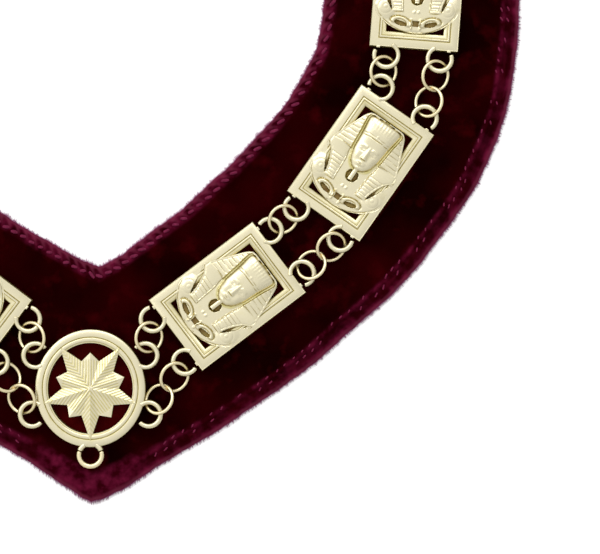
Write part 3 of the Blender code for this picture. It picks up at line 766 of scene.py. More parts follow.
def comb_rule(edge, low, reach):
    """A rule for a strip of teeth along one edge of the collar."""
    teeth = round((outer_length if edge > 0 else inner_length) / TOOTH_PITCH) * 2
    long = reach * (0.20 + 0.80 * chance.rand(teeth + 1) ** 3)
    lean = (chance.rand(teeth + 1) - 0.5) * 1.6 / teeth

    def rule(fold, along):
        index = np.round(along * teeth).astype(int)
        tooth = index % 2 == 1
        out = np.where(fold == 0.5, np.where(tooth, long[index], -0.15 * MM), -0.8 * MM)
        sway = np.where((fold == 0.5) & tooth, lean[index], 0)
        turn = np.clip(along + sway, 0, 1)
        wave = cloth_wave(along, 0 * along, PLAN_WAVES) * MM
        x, y = collar_points(turn, np.full(len(along), edge), -(wave + out))
        z = low + (fold - 0.5) * 0.5 * MM + np.where(tooth & (fold == 0.5), 0.3 * MM, 0)
        return np.stack([x, y, z], axis=1), np.full(len(x), 0.75)

    return rule, teeth


bm = bmesh.new()
bm.verts.layers.float.new("hem")
for edge in (-1, 1):
    for low, reach in ((0.8 * MM, 2.1 * MM), (1.4 * MM, 1.7 * MM)):
        rule, teeth = comb_rule(edge, low, reach)
        add_bmesh(bm, bent_sheet(2, teeth, rule, "hem"))
fringe = add_piece("pile_fringe", finish_mesh(bm, "fringe", loose_pile), "velvet")
print("fringe faces:", len(fringe.data.polygons))

# %% [markdown]
# The hand stitches are short slanted threads that sink into the pile at both ends. One thread is
# an arc: a small circle spun part of the way round.

# %% One stitch
def one_stitch(length, wire):
    bm = bmesh.new()
    bow = length * 0.62
    place = Matrix.Translation((0, 0, bow)) @ Matrix.Rotation(math.pi / 2, 4, "Y")
    bmesh.ops.create_circle(bm, segments=6, radius=wire / 2, matrix=place)
    half = math.asin(length / 2 / bow)
    turn = Matrix.Rotation(-half, 3, "Y")
    bmesh.ops.rotate(bm, verts=bm.verts, cent=(0, 0, 0), matrix=turn)
    bmesh.ops.spin(
        bm, geom=bm.edges[:], cent=(0, 0, 0), axis=(0, 1, 0), angle=2 * half, steps=6,
    )
    bmesh.ops.translate(bm, vec=(0, 0, -bow), verts=bm.verts)
    bmesh.ops.recalc_face_normals(bm, faces=bm.faces)
    mesh = bpy.data.meshes.new("stitch")
    bm.to_mesh(mesh)
    bm.free()
    return mesh


# %% [markdown]
# A row of stitches keeps its distance from the edge. Small chances in place, depth and slant make
# it look sewn by hand, and the slant is mirrored from one arm to the other.

# %% Rows of stitches
STITCH_LIFT = 0.22 * MM


def stitch_row(bm, count, edge, inset, slant, size, sunk):
    """Sets copies of one stitch along a hem. A share of them is left out, as if sunk out of sight in
    the pile.
    """
    # A little past each dimple, and within a tenth of the pitch from there
    along = (np.arange(count) + 0.02 + (chance.rand(count) - 0.5) * 0.2) / count
    along = np.clip(along, 0, 1)
    hidden = chance.rand(count) < sunk
    depth = inset + (chance.rand(count) - 0.5) * 0.9 * MM
    edges = np.full(count, edge)
    x, y = collar_points(along, edges, depth)
    x2, y2 = collar_points(np.clip(along + 0.0005, 0, 1), edges, depth)
    side = np.full(count, edge * (1 - inset / (COLLAR_WIDTH / 2)))
    height, _ = hem_profile(np.full(count, inset), side, along)
    z = velvet_top - PILE_DROP + height + STITCH_LIFT
    stitch = one_stitch(*size)
    near_tip = np.minimum(along, 1 - along) * 2 * half_run < PLAIN_TIP
    for row in range(count):
        if hidden[row] or (edge > 0 and near_tip[row]):
            continue
        turn = math.atan2(y2[row] - y[row], x2[row] - x[row])
        turn += slant if along[row] < 0.5 else -slant
        turn += float(chance.rand() - 0.5) * 0.5
        place = Matrix.Translation((x[row], y[row], z[row]))
        old = len(bm.verts)
        bm.from_mesh(stitch)
        bm.verts.ensure_lookup_table()
        moved = bm.verts[old:]
        bmesh.ops.transform(bm, matrix=place @ Matrix.Rotation(turn, 4, "Z"), verts=moved)
    bpy.data.meshes.remove(stitch)


bm = bmesh.new()
stitch_row(bm, inner_stitches, -1, INNER_STITCH, -0.40, (4.8 * MM, 1.9 * MM), 0.0)
stitch_row(bm, outer_stitches, 1, OUTER_STITCH, 0.45, (3.0 * MM, 0.95 * MM), 0.3)
stitch_row(bm, outer_stitches, 1, OUTER_SECOND, 0.45, (2.4 * MM, 0.9 * MM), 0.6)
threads = add_piece("hem_stitches", finish_mesh(bm, "stitches", thread), "velvet")
print("stitch faces:", len(threads.data.polygons))

# %% [markdown]
# ## Wire loops and rings
#
# A ring is a small circle spun about an axis. The open loops on the castings are the same thing
# stopped short: their root swells into the frame, and their free end is rounded off.

# %% Helper: bent wire
def bent_wire(radius, wire, start, end, steps, sides=14):
    """Wire bent along an arc about +Z in the level plane. A full turn is closed."""
    bm = bmesh.new()
    bm.verts.layers.float.new("recess")
    upright = Matrix.Rotation(math.pi / 2, 4, "X")
    place = Matrix.Rotation(start, 4, "Z") @ Matrix.Translation((radius, 0, 0)) @ upright
    bmesh.ops.create_circle(bm, segments=sides, radius=wire / 2, matrix=place)
    closed = abs(end - start) > 2 * math.pi - 0.001
    bmesh.ops.spin(
        bm, geom=bm.edges[:], cent=(0, 0, 0), axis=(0, 0, 1), angle=end - start, steps=steps,
        use_merge=closed,
    )
    if not closed:
        caps = bmesh.ops.holes_fill(bm, edges=[edge for edge in bm.edges if edge.is_boundary])
        rims = list({edge for face in caps["faces"] for edge in face.edges})
        round_edges(bm, rims, wire * 0.2)
    bmesh.ops.recalc_face_normals(bm, faces=bm.faces)
    return bm


# %% [markdown]
# The jump rings are round wire. Each is placed where its solid lies: the points of the solid give
# the middle, and the way they spread gives the tilt.

# %% Jump rings
RING_RADIUS = 7.4 * MM
RING_WIRE = 1.8 * MM
RING_STEPS = 64


def whole_ring():
    return bent_wire(RING_RADIUS, RING_WIRE, 0, 2 * math.pi, RING_STEPS)


def ring_axes(points):
    """Middle of some points, and their spread directions from least to most."""
    middle = points.mean(axis=0)
    _, directions = np.linalg.eigh(np.cov((points - middle).T))
    return middle, directions


def turn_to(normal, middle):
    turn = Vector((0, 0, 1)).rotation_difference(Vector(normal)).to_matrix().to_4x4()
    return Matrix.Translation(Vector(middle)) @ turn


for name in nodes_named("inner_ring_"):
    points = node_points(name)
    middle, directions = ring_axes(np.unique(np.round(points, 7), axis=0))
    bm = bmesh.new()
    add_bmesh(bm, whole_ring(), turn_to(directions[:, 0], middle))
    add_piece("wire_" + name, finish_mesh(bm, name, gilt_wire), "gilt_metal", name)


print("single rings:", len(nodes_named("inner_ring_")))

# %% [markdown]
# In a pair the two rings lean opposite ways and are drawn tight against each other. The solid's
# longest spread is the pair's direction, and its two halves are told apart along it.

# %% Pairs of rings
for name in nodes_named("outer_link_"):
    points = np.unique(np.round(node_points(name), 7), axis=0)
    middle = (points.min(axis=0) + points.max(axis=0)) / 2
    _, directions = ring_axes(points)
    ahead = directions[:, 2]
    travel = (points - middle) @ ahead
    reach = travel.max()
    bm = bmesh.new()
    for end in (-1, 1):
        half = points[travel * end > RING_WIRE]
        shift = end * (reach - RING_RADIUS - RING_WIRE / 2)
        far = half - middle - shift * ahead
        across = np.cross((0, 0, 1), ahead)
        tilt = math.atan2((far[:, 2] * (far @ across)).sum(), ((far @ across) ** 2).sum())
        normal = np.cross(ahead, across * math.cos(tilt) + np.array([0, 0, math.sin(tilt)]))
        add_bmesh(bm, whole_ring(), turn_to(normal, middle + shift * ahead))
    add_piece("wire_" + name, finish_mesh(bm, name, gilt_wire), "gilt_metal", name)
print("tilt of the last ring:", round(math.degrees(tilt), 1), "degrees")

# %% [markdown]
# ## A plaque
#
# Its frame is a block whose top is inset again and again, so that each inset is one line of the
# moulding: a broad sloping band, a fine groove, a bright bead, and a lower step at the window.

# %% The frame's moulding
FRAME_BAND = 8.1 * MM
# Each row: distance from the outer edge, height under the frame's top, and the painted shade of the
# hollow
MOULDING = [
    (0.00, -1.30, 0.20), (0.12, -0.85, 0.10), (0.40, -0.62, 0.00), (0.62, -0.70, 0.10),
    (0.80, -0.62, 0.00), (2.60, -0.30, 0.00), (4.05, -0.22, 0.00), (4.28, -0.30, 0.30),
    (4.40, -0.54, 0.62), (4.58, -0.54, 0.62), (4.72, -0.18, 0.20), (4.98, 0.00, 0.00),
    (5.40, 0.00, 0.00), (5.68, -0.16, 0.15), (5.80, -0.42, 0.80), (5.95, -0.42, 0.60),
    (6.15, -0.38, 0.15), (7.60, -1.15, 0.12), (7.95, -1.45, 0.20), (8.10, -1.90, 0.35),
]


def moulded_frame():
    bm = bmesh.new()
    bmesh.ops.create_cube(bm, size=1.0)
    edge_top = frame_top + MOULDING[0][1] * MM
    size = (plaque_width, plaque_length, edge_top - metal_low)
    bmesh.ops.scale(bm, vec=size, verts=bm.verts)
    bmesh.ops.translate(bm, vec=(0, 0, (edge_top + metal_low) / 2), verts=bm.verts)
    top = max(bm.faces, key=lambda face: face.calc_center_median().z)
    bottom = min(bm.faces, key=lambda face: face.calc_center_median().z)
    for (before, low, _), (after, high, _) in zip(MOULDING, MOULDING[1:]):
        bmesh.ops.inset_region(
            bm, faces=[top], thickness=(after - before) * MM, use_even_offset=True
        )
        bmesh.ops.translate(bm, vec=(0, 0, (high - low) * MM), verts=top.verts)
    bmesh.ops.inset_region(bm, faces=[bottom], thickness=FRAME_BAND, use_even_offset=True)
    rims = list(top.edges) + list(bottom.edges)
    bmesh.ops.delete(bm, geom=[top, bottom], context="FACES_ONLY")
    bmesh.ops.bridge_loops(bm, edges=rims)
    bmesh.ops.recalc_face_normals(bm, faces=bm.faces)
    upright = [
        edge for edge in bm.edges
        if edge.calc_length() > 2 * MM and abs(edge.verts[0].co.z - edge.verts[1].co.z) > 2 * MM
        and min(abs(vert.co.x) for vert in edge.verts) > plaque_width / 2 - 0.1 * MM
    ]
    round_edges(bm, upright, 0.35 * MM)
    recess = bm.verts.layers.float.new("recess")
    distances = [row[0] * MM for row in MOULDING]
    darkness = [row[2] for row in MOULDING]
    for vert in bm.verts:
        inset = min(plaque_width / 2 - abs(vert.co.x), plaque_length / 2 - abs(vert.co.y))
        vert[recess] = float(np.interp(inset, distances, darkness))
        # painted shade on the frame's lower walls
        if vert.co.z < frame_top - 2 * MM:
            vert[recess] = 0.8
    return bm


print("lines of the moulding:", len(MOULDING), "over", FRAME_BAND / MM, "mm")

# %% [markdown]
# ### The bust
#
# The relief is a height worked out at every point of the plaque, in millimetres: `u` across and
# `v` towards the crown. It is built in layers, from the far ones to the near ones: the shoulders
# and crossed arms, the lappets and wings of the striped headcloth, then the head with its cap.
# Outlines that curve freely are tables, read between their rows. The face follows the usual
# drawing proportions: between the cap's band and the chin, the eyebrows lie a third down and the
# nose's foot two thirds, and the mouth lies a third of the rest below the nose.

# %% Bust: outline and tables
# Half width of the bust against v, from the foot to the crown
BUST_WIDTHS = [
    (-25.0, 0.5), (-24.7, 4.6), (-23.7, 9.0), (-21.7, 13.3), (-18.9, 17.2), (-16.0, 19.9),
    (-13.6, 21.0), (-11.0, 20.8), (-9.0, 20.0), (-5.0, 19.8), (-1.0, 19.9), (0.6, 19.9),
    (4.0, 18.9), (9.3, 16.9), (15.0, 14.5), (20.5, 12.2), (22.6, 11.2), (23.8, 9.6), (24.2, 8.0),
]
HEAD_WIDTHS = [
    (-4.4, 0.0), (-4.1, 2.0), (-3.2, 3.7), (-1.4, 5.3), (0.6, 6.4), (4.6, 7.5), (10.0, 8.0),
    (14.0, 8.3), (19.0, 9.0), (21.6, 9.2), (22.8, 8.6), (23.4, 6.5), (23.7, 0.0),
]
HEAD_TOPS = [
    (-4.4, 1.2), (-3.2, 1.9), (-1.0, 2.4), (4.0, 2.8), (10.0, 3.1), (14.0, 3.4), (17.0, 3.4),
    (20.5, 2.9), (22.6, 2.0), (23.7, 0.9),
]
# Outer edge of the lappet that hangs in front of the shoulder
LAPPET_EDGE = [
    (-14.6, 12.3), (-11.0, 13.0), (-8.0, 14.0), (-6.0, 14.8), (-3.0, 16.4), (-1.2, 18.0), (0.6, 20.2),
]
CHIN = -4.4
BROW_BAND = 14.2
third = (BROW_BAND - CHIN) / 3
brow = BROW_BAND - third
eye_line = brow - 1.7
nose_foot = CHIN + third
mouth_line = nose_foot - third / 3
print("a third of the face:", round(third, 2), "mm")

# %% [markdown]
# The face is plain and calm. Its features are small hills and grooves on the rounded front of the
# head, each fading out at its own edge, so that nothing shows a hard border.

# %% Bust: head and face
def face_height(u, v):
    """Features of the face, added to the smooth front of the head."""
    side = np.abs(u)
    arch = line_cut(v - brow - 0.25 + 0.05 * (side - 3.2) ** 2, 1.5)
    height = 0.40 * arch * soft_step(5.6 - side, 0, 1.2) * soft_step(side, 0.8, 1.8)
    height -= 0.62 * bump_at(side, v, 3.2, eye_line, 2.6, 1.7)
    lid = np.clip(1 - ((side - 3.2) / 1.7) ** 2, 0, 1)
    opening = np.maximum(lid * 0.8, 0.05)
    height += 0.42 * np.sqrt(np.clip(1 - ((v - eye_line) / opening) ** 2, 0, 1)) * (lid > 0)
    height += 0.20 * line_cut(v - eye_line - lid * 0.95, 0.5) * (lid > 0)
    rise = np.clip((brow + 0.2 - v) / (brow - nose_foot), 0, 1)
    on_nose = soft_step(v, nose_foot - 0.35, nose_foot + 0.35) * soft_step(brow + 1.4 - v, 0, 1.6)
    height += (0.35 + 0.95 * rise) * np.exp(-(side / (0.75 + 0.55 * rise)) ** 2) * on_nose
    height += 0.35 * bump_at(side, v, 1.2, nose_foot + 0.55, 0.85, 0.9)
    height += 0.35 * bump_at(side, v, 4.4, nose_foot + 1.0, 2.8, 3.2)
    lips = np.clip(1 - (side / 2.6) ** 2, 0, 1)
    height += 0.42 * line_cut(v - mouth_line - 0.5 + 0.06 * side ** 2, 1.0) * lips
    height += 0.48 * line_cut(v - mouth_line + 0.62 - 0.10 * side ** 2, 1.1) * lips
    height -= 0.30 * line_cut(v - mouth_line, 0.4) * lips
    height -= 0.22 * bump_at(u, v, 0, mouth_line - 1.7, 2.2, 0.7)
    height += 0.45 * bump_at(u, v, 0, CHIN + 1.3, 2.4, 1.4)
    return height


def head_height(u, v):
    """The rounded front of the head, with its cap, brow band and face."""
    side = np.abs(u)
    edge = np.maximum(look_up(HEAD_WIDTHS, v), 0.01)
    swell = np.clip(1 - (side / edge) ** 2.8, 0, 1) ** 0.5
    top = look_up(HEAD_TOPS, v)
    band = BROW_BAND + 0.6 - 0.010 * u ** 2
    face = soft_step(band - 1.5 - v, 0, 0.7)
    cap = 0.30 * soft_step(v - band + 1.3, -0.15, 0.15)
    lines = 0.32 * line_cut(v - band, 0.42) + 0.30 * line_cut(v - band + 1.35, 0.42)
    flutes = 0.03 * np.cos(u / (1 + 0.018 * (v - 14)) * 2 * math.pi / 1.55)
    flutes = flutes * soft_step(v, 16.8, 19.5) * soft_step(edge - side, 0.3, 1.2)
    boss = 0.35 * bump_at(u, v, 0, BROW_BAND + 0.9, 0.9, 1.0)
    total = top * swell + cap - lines + flutes + boss + face_height(u, v) * face * swell
    return 0.1 + total


print("foot of the nose:", head_height(np.zeros(1), np.array([nose_foot])).round(2), "mm")

# %% [markdown]
# The headcloth is one pleated cloth. Its wings spread level at either side of the head, crossed by
# stripes, and its two ends, the lappets, hang in front of the shoulders with closer ribs.

# %% Bust: headcloth
def wing_height(u, v):
    """The cloth spread at either side of the head, crossed by stripes."""
    side = np.abs(u)
    outer = look_up(BUST_WIDTHS, v)
    inner = look_up(HEAD_WIDTHS, np.clip(v, -1, 22)) + 1.2
    across = np.clip((side - inner) / np.maximum(outer - inner, 0.5), 0, 1)
    height = 1.75 - 0.85 * across ** 1.3
    fan = v + 0.035 * side
    stripe = line_cut((fan - 4.6 + 1.2) % 2.4 - 1.2, 0.55)
    plain = soft_step(outer - side, 0.75, 1.05) * soft_step(side - inner, 0.2, 0.6)
    height -= 0.36 * stripe * plain * soft_step(v, 3.4, 3.9)
    height -= 0.12 * line_cut(outer - side - 0.95, 0.5)
    return height


def lappet_height(u, v):
    """The two ends of the cloth that hang in front of the shoulders."""
    side = np.abs(u)
    outer = look_up(LAPPET_EDGE, v)
    inner = 6.5 + 0.055 * (v + 14) + 0.8 * soft_step(v, -3, 2)
    across = (side - inner) / (outer - inner)
    height = 1.15 - 0.35 * (2 * across - 0.9) ** 2
    rib = line_cut((v + 0.9 + 0.95) % 1.9 - 0.95, 0.55)
    field = soft_step(outer - side, 1.2, 1.5) * soft_step(side - inner, 0.7, 1.0)
    height -= 0.34 * rib * field * soft_step(-1.2 - v, 0, 0.4) * soft_step(outer, 12.4, 12.8)
    height -= 0.25 * line_cut(outer - side - 1.3, 0.45) * soft_step(v, -13.2, -12.6)
    height -= 0.20 * line_cut(side - inner - 0.8, 0.40) * soft_step(1.0 - v, 0, 1)
    height -= 0.30 * line_cut(v + 13.1, 0.45)
    inside = soft_step(across, 0, 0.04) * soft_step(1 - across, 0, 0.03) * soft_step(v, -14.7, -14.4)
    return height, inside


print("beside the head:", wing_height(np.full(1, 12.0), np.full(1, 10.0)).round(2), "mm")

# %% [markdown]
# The breast is a gentle swell with a disc on each shoulder. The arms cross low on it and end in two
# oval cuffs with a slit in each, and a short post stands beside either cuff over a small well.

# %% Bust: breast, shoulders and arms
def torso_height(u, v, rim):
    """Breast, shoulders with their discs, and the crossed arms. rim is the way to the outline."""
    side = np.abs(u)
    height = -0.35 + 0.75 * np.clip(1 - (side / 22) ** 2, 0, 1)
    mound = bump_at(side, v, 16.2, -12.4, 6.4, 6.6) ** 0.55
    height += 1.25 * mound
    disc = np.hypot(side - 15.6, v + 12.4)
    height -= 0.17 * line_cut(disc - 3.5, 0.6) * soft_step(side, 12.0, 12.6)
    height -= 0.14 * line_cut(disc - 1.25, 0.5)
    height += 0.12 * line_cut(disc, 0.9)
    turn = math.radians(14)
    cuff_u = (side - 7.5) * math.cos(turn) + (v + 20.0) * math.sin(turn)
    cuff_v = (v + 20.0) * math.cos(turn) - (side - 7.5) * math.sin(turn)
    oval = np.hypot(cuff_u / 5.0, cuff_v / 2.9)
    above = soft_step(cuff_v, -1.6, -0.4)
    height += 0.95 * np.clip(1 - ((oval - 0.82) / 0.26) ** 2, 0, 1) ** 0.5 * above
    height -= 0.35 * line_cut(oval - 1.14, 0.12) * above
    slit = np.hypot(cuff_u / 3.1, (cuff_v + 0.35) / 1.05)
    height -= 1.5 * soft_step(1.15 - slit, 0, 0.35)
    post = line_cut(side - 2.3, 1.0) * soft_step(v, -23.6, -22.8) * soft_step(-17.6 - v, 0, 0.8)
    height += 0.75 * post
    well = soft_step(1.55 - side, 0, 0.3) * soft_step(1.5 - np.abs(v + 20.2), 0, 0.3)
    height -= 1.4 * well
    for across in (-1.05, 1.05):
        height += 0.55 * bump_at(u, v, across, -14.4, 0.85, 0.95) ** 0.6
    low = soft_step(-11.5 - v, 0, 2)
    height = height + (-0.05 - height) * line_cut(rim - 0.25, 0.6) * low
    height -= 0.40 * line_cut(rim - 0.85, 0.5) * low
    return height


disc_middle = torso_height(np.full(1, 15.6), np.full(1, -12.4), np.full(1, 5.0))
print("middle of a shoulder's disc:", disc_middle.round(2), "mm")

# %% [markdown]
# The beard is a short plaited bar. It hangs free in front of a sunk round field.

# %% Bust: beard
def beard_height(u, v):
    """A short plaited beard under the chin, in a sunk field."""
    wide = 1.25 - 0.05 * (v + 4)
    field = soft_step(3.3 - np.hypot(u, (v + 7.6) * 0.95), 0, 0.7)
    plait = np.sin((v + 4) / 1.2 * math.pi) ** 2
    bar = 1.75 - 0.5 * (u / wide) ** 2 - 0.16 * plait
    inside = soft_step(wide - np.abs(u), 0, 0.3) * soft_step(v, -10.4, -10.0)
    inside = inside * soft_step(-3.6 - v, 0, 0.4)
    return bar, inside, field


print("middle of the beard:", beard_height(np.zeros(1), np.full(1, -7.0))[0].round(2), "mm")

# %% [markdown]
# Now the layers are laid over each other, from far to near. Each one hides what lies under it, and
# with it the mark of the painted shade there. A narrow channel runs round the head and the jaw.

# %% Bust: all layers
def bust_height(u, v, rim):
    """The whole relief in millimetres over the frame's top, and the painted shade of its hollows."""
    side = np.abs(u)
    height = torso_height(u, v, rim)
    # painted shade: the low parts, the slits, the beard's field and the channel are marked dark
    hollow = soft_step(0.1 - height, 0.2, 0.9)
    beyond = side - look_up(LAPPET_EDGE, v)
    width = 1.5 * np.sin(np.clip((0.8 - v) / 14.2, 0, 1) * math.pi) ** 0.7 + 0.15
    slit = soft_step(beyond, -0.3, 0) * soft_step(width - beyond, 0, 0.4) * (v < 1.2) * (v > -13.6)
    height = height - slit * (height + 1.3)
    hollow = np.maximum(hollow, slit)
    lappet, on_lappet = lappet_height(u, v)
    on_lappet = on_lappet * (v < 4.4)
    height = height + (lappet - height) * on_lappet
    hollow = hollow * (1 - on_lappet)
    on_wing = soft_step(v - 3.3 - 0.03 * side, -0.2, 0.15)
    height = height + (wing_height(u, v) - height) * on_wing
    hollow = hollow * (1 - on_wing)
    bar, on_bar, field = beard_height(u, v)
    field = field * (v < -4.0)
    height = height - 1.7 * field
    hollow = np.maximum(hollow, 0.95 * field)
    edge = look_up(HEAD_WIDTHS, v)
    jaw = np.hypot(u, np.minimum(v - 1.0, 0) * 1.12) - 6.1
    beside = np.where(v < 1.0, jaw, side - edge)
    channel = soft_step(1.35 - beside, 0, 0.6) * (v > -7.5) * soft_step(beside, -0.6, -0.3)
    height = height + (0.45 - height) * channel
    hollow = np.maximum(hollow * (1 - channel), 0.30 * channel)
    on_head = soft_step(edge - side, -0.05, 0.15) * (v > CHIN)
    height = height + (head_height(u, v) - height) * on_head
    hollow = hollow * (1 - on_head)
    height = height + (np.maximum(bar, height) - height) * on_bar
    return height, hollow * (1 - on_bar)


middle_line, _ = bust_height(np.zeros(3), np.array([22.0, 5.0, -10.0]), np.full(3, 5.0))
print("heights down the middle:", middle_line.round(2), "mm")

# %% [markdown]
# The sheet's rows run level across the bust and its columns spread with the outline, so the
# stripes of the headcloth follow the rows. Afterwards its border is extruded down into a wall and
# closed underneath.

# %% Bust: the sheet
BUST_COLUMNS = 118
BUST_ROWS = 150
BUST_LIMIT = 4.3            # the relief stays under this height over the frame's top
BUST_SOFT = 3.6             # and flattens out from this one
BUST_DEPTH = 4.4 * MM       # of its hidden underside under the frame's top


def bust_rule(across, along):
    low, high = BUST_WIDTHS[0][0], BUST_WIDTHS[-1][0]
    v = low + (high - low) * along
    outer = look_up(BUST_WIDTHS, v)
    u = (across * 2 - 1) * outer
    sides = (outer - np.abs(u)) * 0.8
    rim = np.minimum(sides, v - low + 0.02 * u ** 2)
    height, hollow = bust_height(u, v, rim)
    capped_relief_and_painted_glow = BUST_SOFT + (BUST_LIMIT - BUST_SOFT) * np.tanh((height - BUST_SOFT) / 0.9)
    height = np.where(height > BUST_SOFT, capped_relief_and_painted_glow, height)
    grid = (BUST_ROWS + 1, BUST_COLUMNS + 1)
    order = np.lexsort((np.round(across * BUST_COLUMNS), np.round(along * BUST_ROWS)))
    level = height[order].reshape(grid)
    around = level
    for shift in (1, 2):
        for axis in (0, 1):
            around = around + np.roll(level, shift, axis) + np.roll(level, -shift, axis)
    # painted shade in the dips, where a point lies below its neighbours
    dips = np.zeros(len(order))
    dips[order] = (np.clip(around / 9 - level, 0, 1)).ravel()
    hollow = np.clip(hollow + dips * 0.6, 0, 1)
    return np.stack([u * MM, v * MM, frame_top + height * MM], axis=1), hollow


def bust_bmesh():
    bm = bent_sheet(BUST_COLUMNS, BUST_ROWS, bust_rule)
    layer = bm.verts.layers.float["recess"]
    floor_z = frame_top - BUST_DEPTH
    border = [edge for edge in bm.edges if edge.is_boundary]
    for _ in range(2):
        made = bmesh.ops.extrude_edge_only(bm, edges=border)["geom"]
        verts = [item for item in made if isinstance(item, bmesh.types.BMVert)]
        edges = [item for item in made if isinstance(item, bmesh.types.BMEdge)]
        border = [edge for edge in edges if edge.is_boundary]
        # painted shade on the wall
        for vert in verts:
            vert.co.z = floor_z
            vert[layer] = 0.9
    bmesh.ops.pointmerge(bm, verts=verts, merge_co=(0, -4 * MM, floor_z))
    bmesh.ops.recalc_face_normals(bm, faces=bm.faces)
    return bm


print("points of the relief:", (BUST_ROWS + 1) * (BUST_COLUMNS + 1))

# %% [markdown]
# The four loops are added at the short ends, with a small lug on the frame beside each free end,
# where the loop can be pressed shut. A loop is thickest at its root and a little thicker at its
# far side, where the ring pulls.

# %% Open loops and lugs
LOOP_RADIUS = 6.0 * MM
LOOP_REACH = 4.0 * MM
LOOP_SPREAD = 13.4 * MM
LOOP_MOUTH = 1.1 * MM
ROOT_ANGLE = math.radians(155.0)
ROOT_SWELL = 0.35
FAR_SWELL = 0.16
LUG_SIZE = (2.0 * MM, 1.1 * MM, 1.9 * MM)


def open_loop(free_side):
    """A loop at the origin that opens towards +Y, with its free end on one side."""
    free_angle = math.acos((LOOP_MOUTH - LOOP_REACH) / (LOOP_RADIUS + loop_wire / 2))
    start = math.pi / 2 - free_side * ROOT_ANGLE
    end = math.pi / 2 + free_side * free_angle
    bm = bent_wire(LOOP_RADIUS, loop_wire, min(start, end), max(start, end), 36)
    for vert in bm.verts:
        angle = math.atan2(vert.co.y, vert.co.x) - math.pi / 2
        angle = (angle + math.pi) % (2 * math.pi) - math.pi
        from_root = ROOT_ANGLE + free_side * angle
        swell = 1 + ROOT_SWELL * max(0.0, 1 - from_root / math.radians(42)) ** 2
        swell += FAR_SWELL * math.exp(-((from_root - ROOT_ANGLE) / math.radians(70)) ** 2)
        centre = Vector((vert.co.x, vert.co.y, 0)).normalized() * LOOP_RADIUS
        vert.co = centre + (vert.co - centre) * swell
    return bm


def small_lug(size):
    bm = bmesh.new()
    bm.verts.layers.float.new("recess")
    bmesh.ops.create_cube(bm, size=1.0)
    bmesh.ops.scale(bm, vec=size, verts=bm.verts)
    round_edges(bm, bm.edges[:], min(size) * 0.3)
    return bm


def add_loops(bm):
    for end in (-1, 1):
        for side in (-1, 1):
            turn = Matrix.Rotation(0 if end > 0 else math.pi, 4, "Z")
            place = (side * LOOP_SPREAD, end * (plaque_length / 2 + LOOP_REACH), loop_height)
            add_bmesh(bm, open_loop(-side * end), Matrix.Translation(place) @ turn)
            lug_x = side * (LOOP_SPREAD + LOOP_RADIUS * 0.72)
            lug_place = (lug_x, end * plaque_length / 2, loop_height)
            add_bmesh(bm, small_lug(LUG_SIZE), Matrix.Translation(lug_place))


print("open loop:", round(LOOP_RADIUS / MM, 2), "mm radius,", round(loop_wire / MM, 2), "mm wire")

# %% [markdown]
# One mesh serves all the plaques. Each gets a copy, turned and moved to where its solid lies.

# %% The whole plaque
bm = moulded_frame()
add_bmesh(bm, bust_bmesh())
add_loops(bm)
plaque_mesh = finish_mesh(bm, "plaque", gilt_cast, 42)
for name in plaque_names:
    mesh = plaque_mesh.copy()
    mesh.transform(plaque_lies[name][0])
    add_piece("cast_" + name, mesh, "gilt_metal", name)
bpy.data.meshes.remove(plaque_mesh)
print("plaque faces:", len(mesh.polygons))

# %% [markdown]
# ## The roundel
#
# The rim is a turned moulding: its cross-section is spun about the middle and stretched into a
# slightly tall oval.

# %% The rim
# Each row: share of the rim's width from its outer edge, height under the frame's top, painted shade
RIM_PROFILE = [
    (0.00, -6.00, 0.8), (0.00, -0.95, 0.2), (0.02, -0.62, 0.1), (0.08, -0.38, 0.0),
    (0.30, -0.16, 0.0), (0.48, -0.12, 0.05), (0.53, -0.22, 0.3), (0.55, -0.48, 0.6),
    (0.58, -0.48, 0.6), (0.60, -0.18, 0.2), (0.66, -0.02, 0.0), (0.78, -0.04, 0.0),
    (0.86, -0.20, 0.1), (0.88, -0.42, 0.3), (0.97, -0.55, 0.1), (1.00, -0.85, 0.2),
    (1.00, -6.00, 0.9),
]
RIM_WIDTH = 6.5 * MM
RIM_STEPS = 144


def rim_bmesh():
    bm = bmesh.new()
    recess = bm.verts.layers.float.new("recess")
    ring = []
    for share, depth, dark in RIM_PROFILE:
        height = max(frame_top + depth * MM, metal_low)
        vert = bm.verts.new((rim_wide - share * RIM_WIDTH, 0, height))
        vert[recess] = dark
        ring.append(vert)
    for a, b in zip(ring, ring[1:] + ring[:1]):
        bm.edges.new((a, b))
    bmesh.ops.spin(
        bm, geom=bm.edges[:], cent=(0, 0, 0), axis=(0, 0, 1), angle=2 * math.pi,
        steps=RIM_STEPS, use_merge=True,
    )
    bmesh.ops.scale(bm, vec=(1, rim_tall / rim_wide, 1), verts=bm.verts)
    bmesh.ops.recalc_face_normals(bm, faces=bm.faces)
    return bm


print("rim:", round(rim_wide * 2 / MM, 2), "x", round(rim_tall * 2 / MM, 2), "mm")

# %% [markdown]
# The star stands on the rim with five long points and has a short one between each two. Each of
# its five fields is ruled with fine grooves that run with the short point, so they meet in
# herringbone along the long ones. It is a sheet of rings round the middle, worked out in
# millimetres, whose last rows are its wall and its floor.

# %% The star
STAR_SHORT = 18.0           # reach of a short point
STAR_VALLEY = 14.3          # and of the valley beside it
STAR_TIP_ROOT = 3.4         # how far a long point runs onto the rim
STAR_CENTRE_HEIGHT = 1.0    # heights over the frame's top
STAR_TIP_HEIGHT = 0.15
STAR_VALLEY_HEIGHT = -0.75
STAR_FLOOR_HEIGHT = -4.6
GROOVE_PITCH = 1.36
GROOVE_DEPTH = 0.17
STAR_COLUMNS = 560
STAR_ROWS = 84
STAR_TOP = 0.9              # share of the rows that lie on top


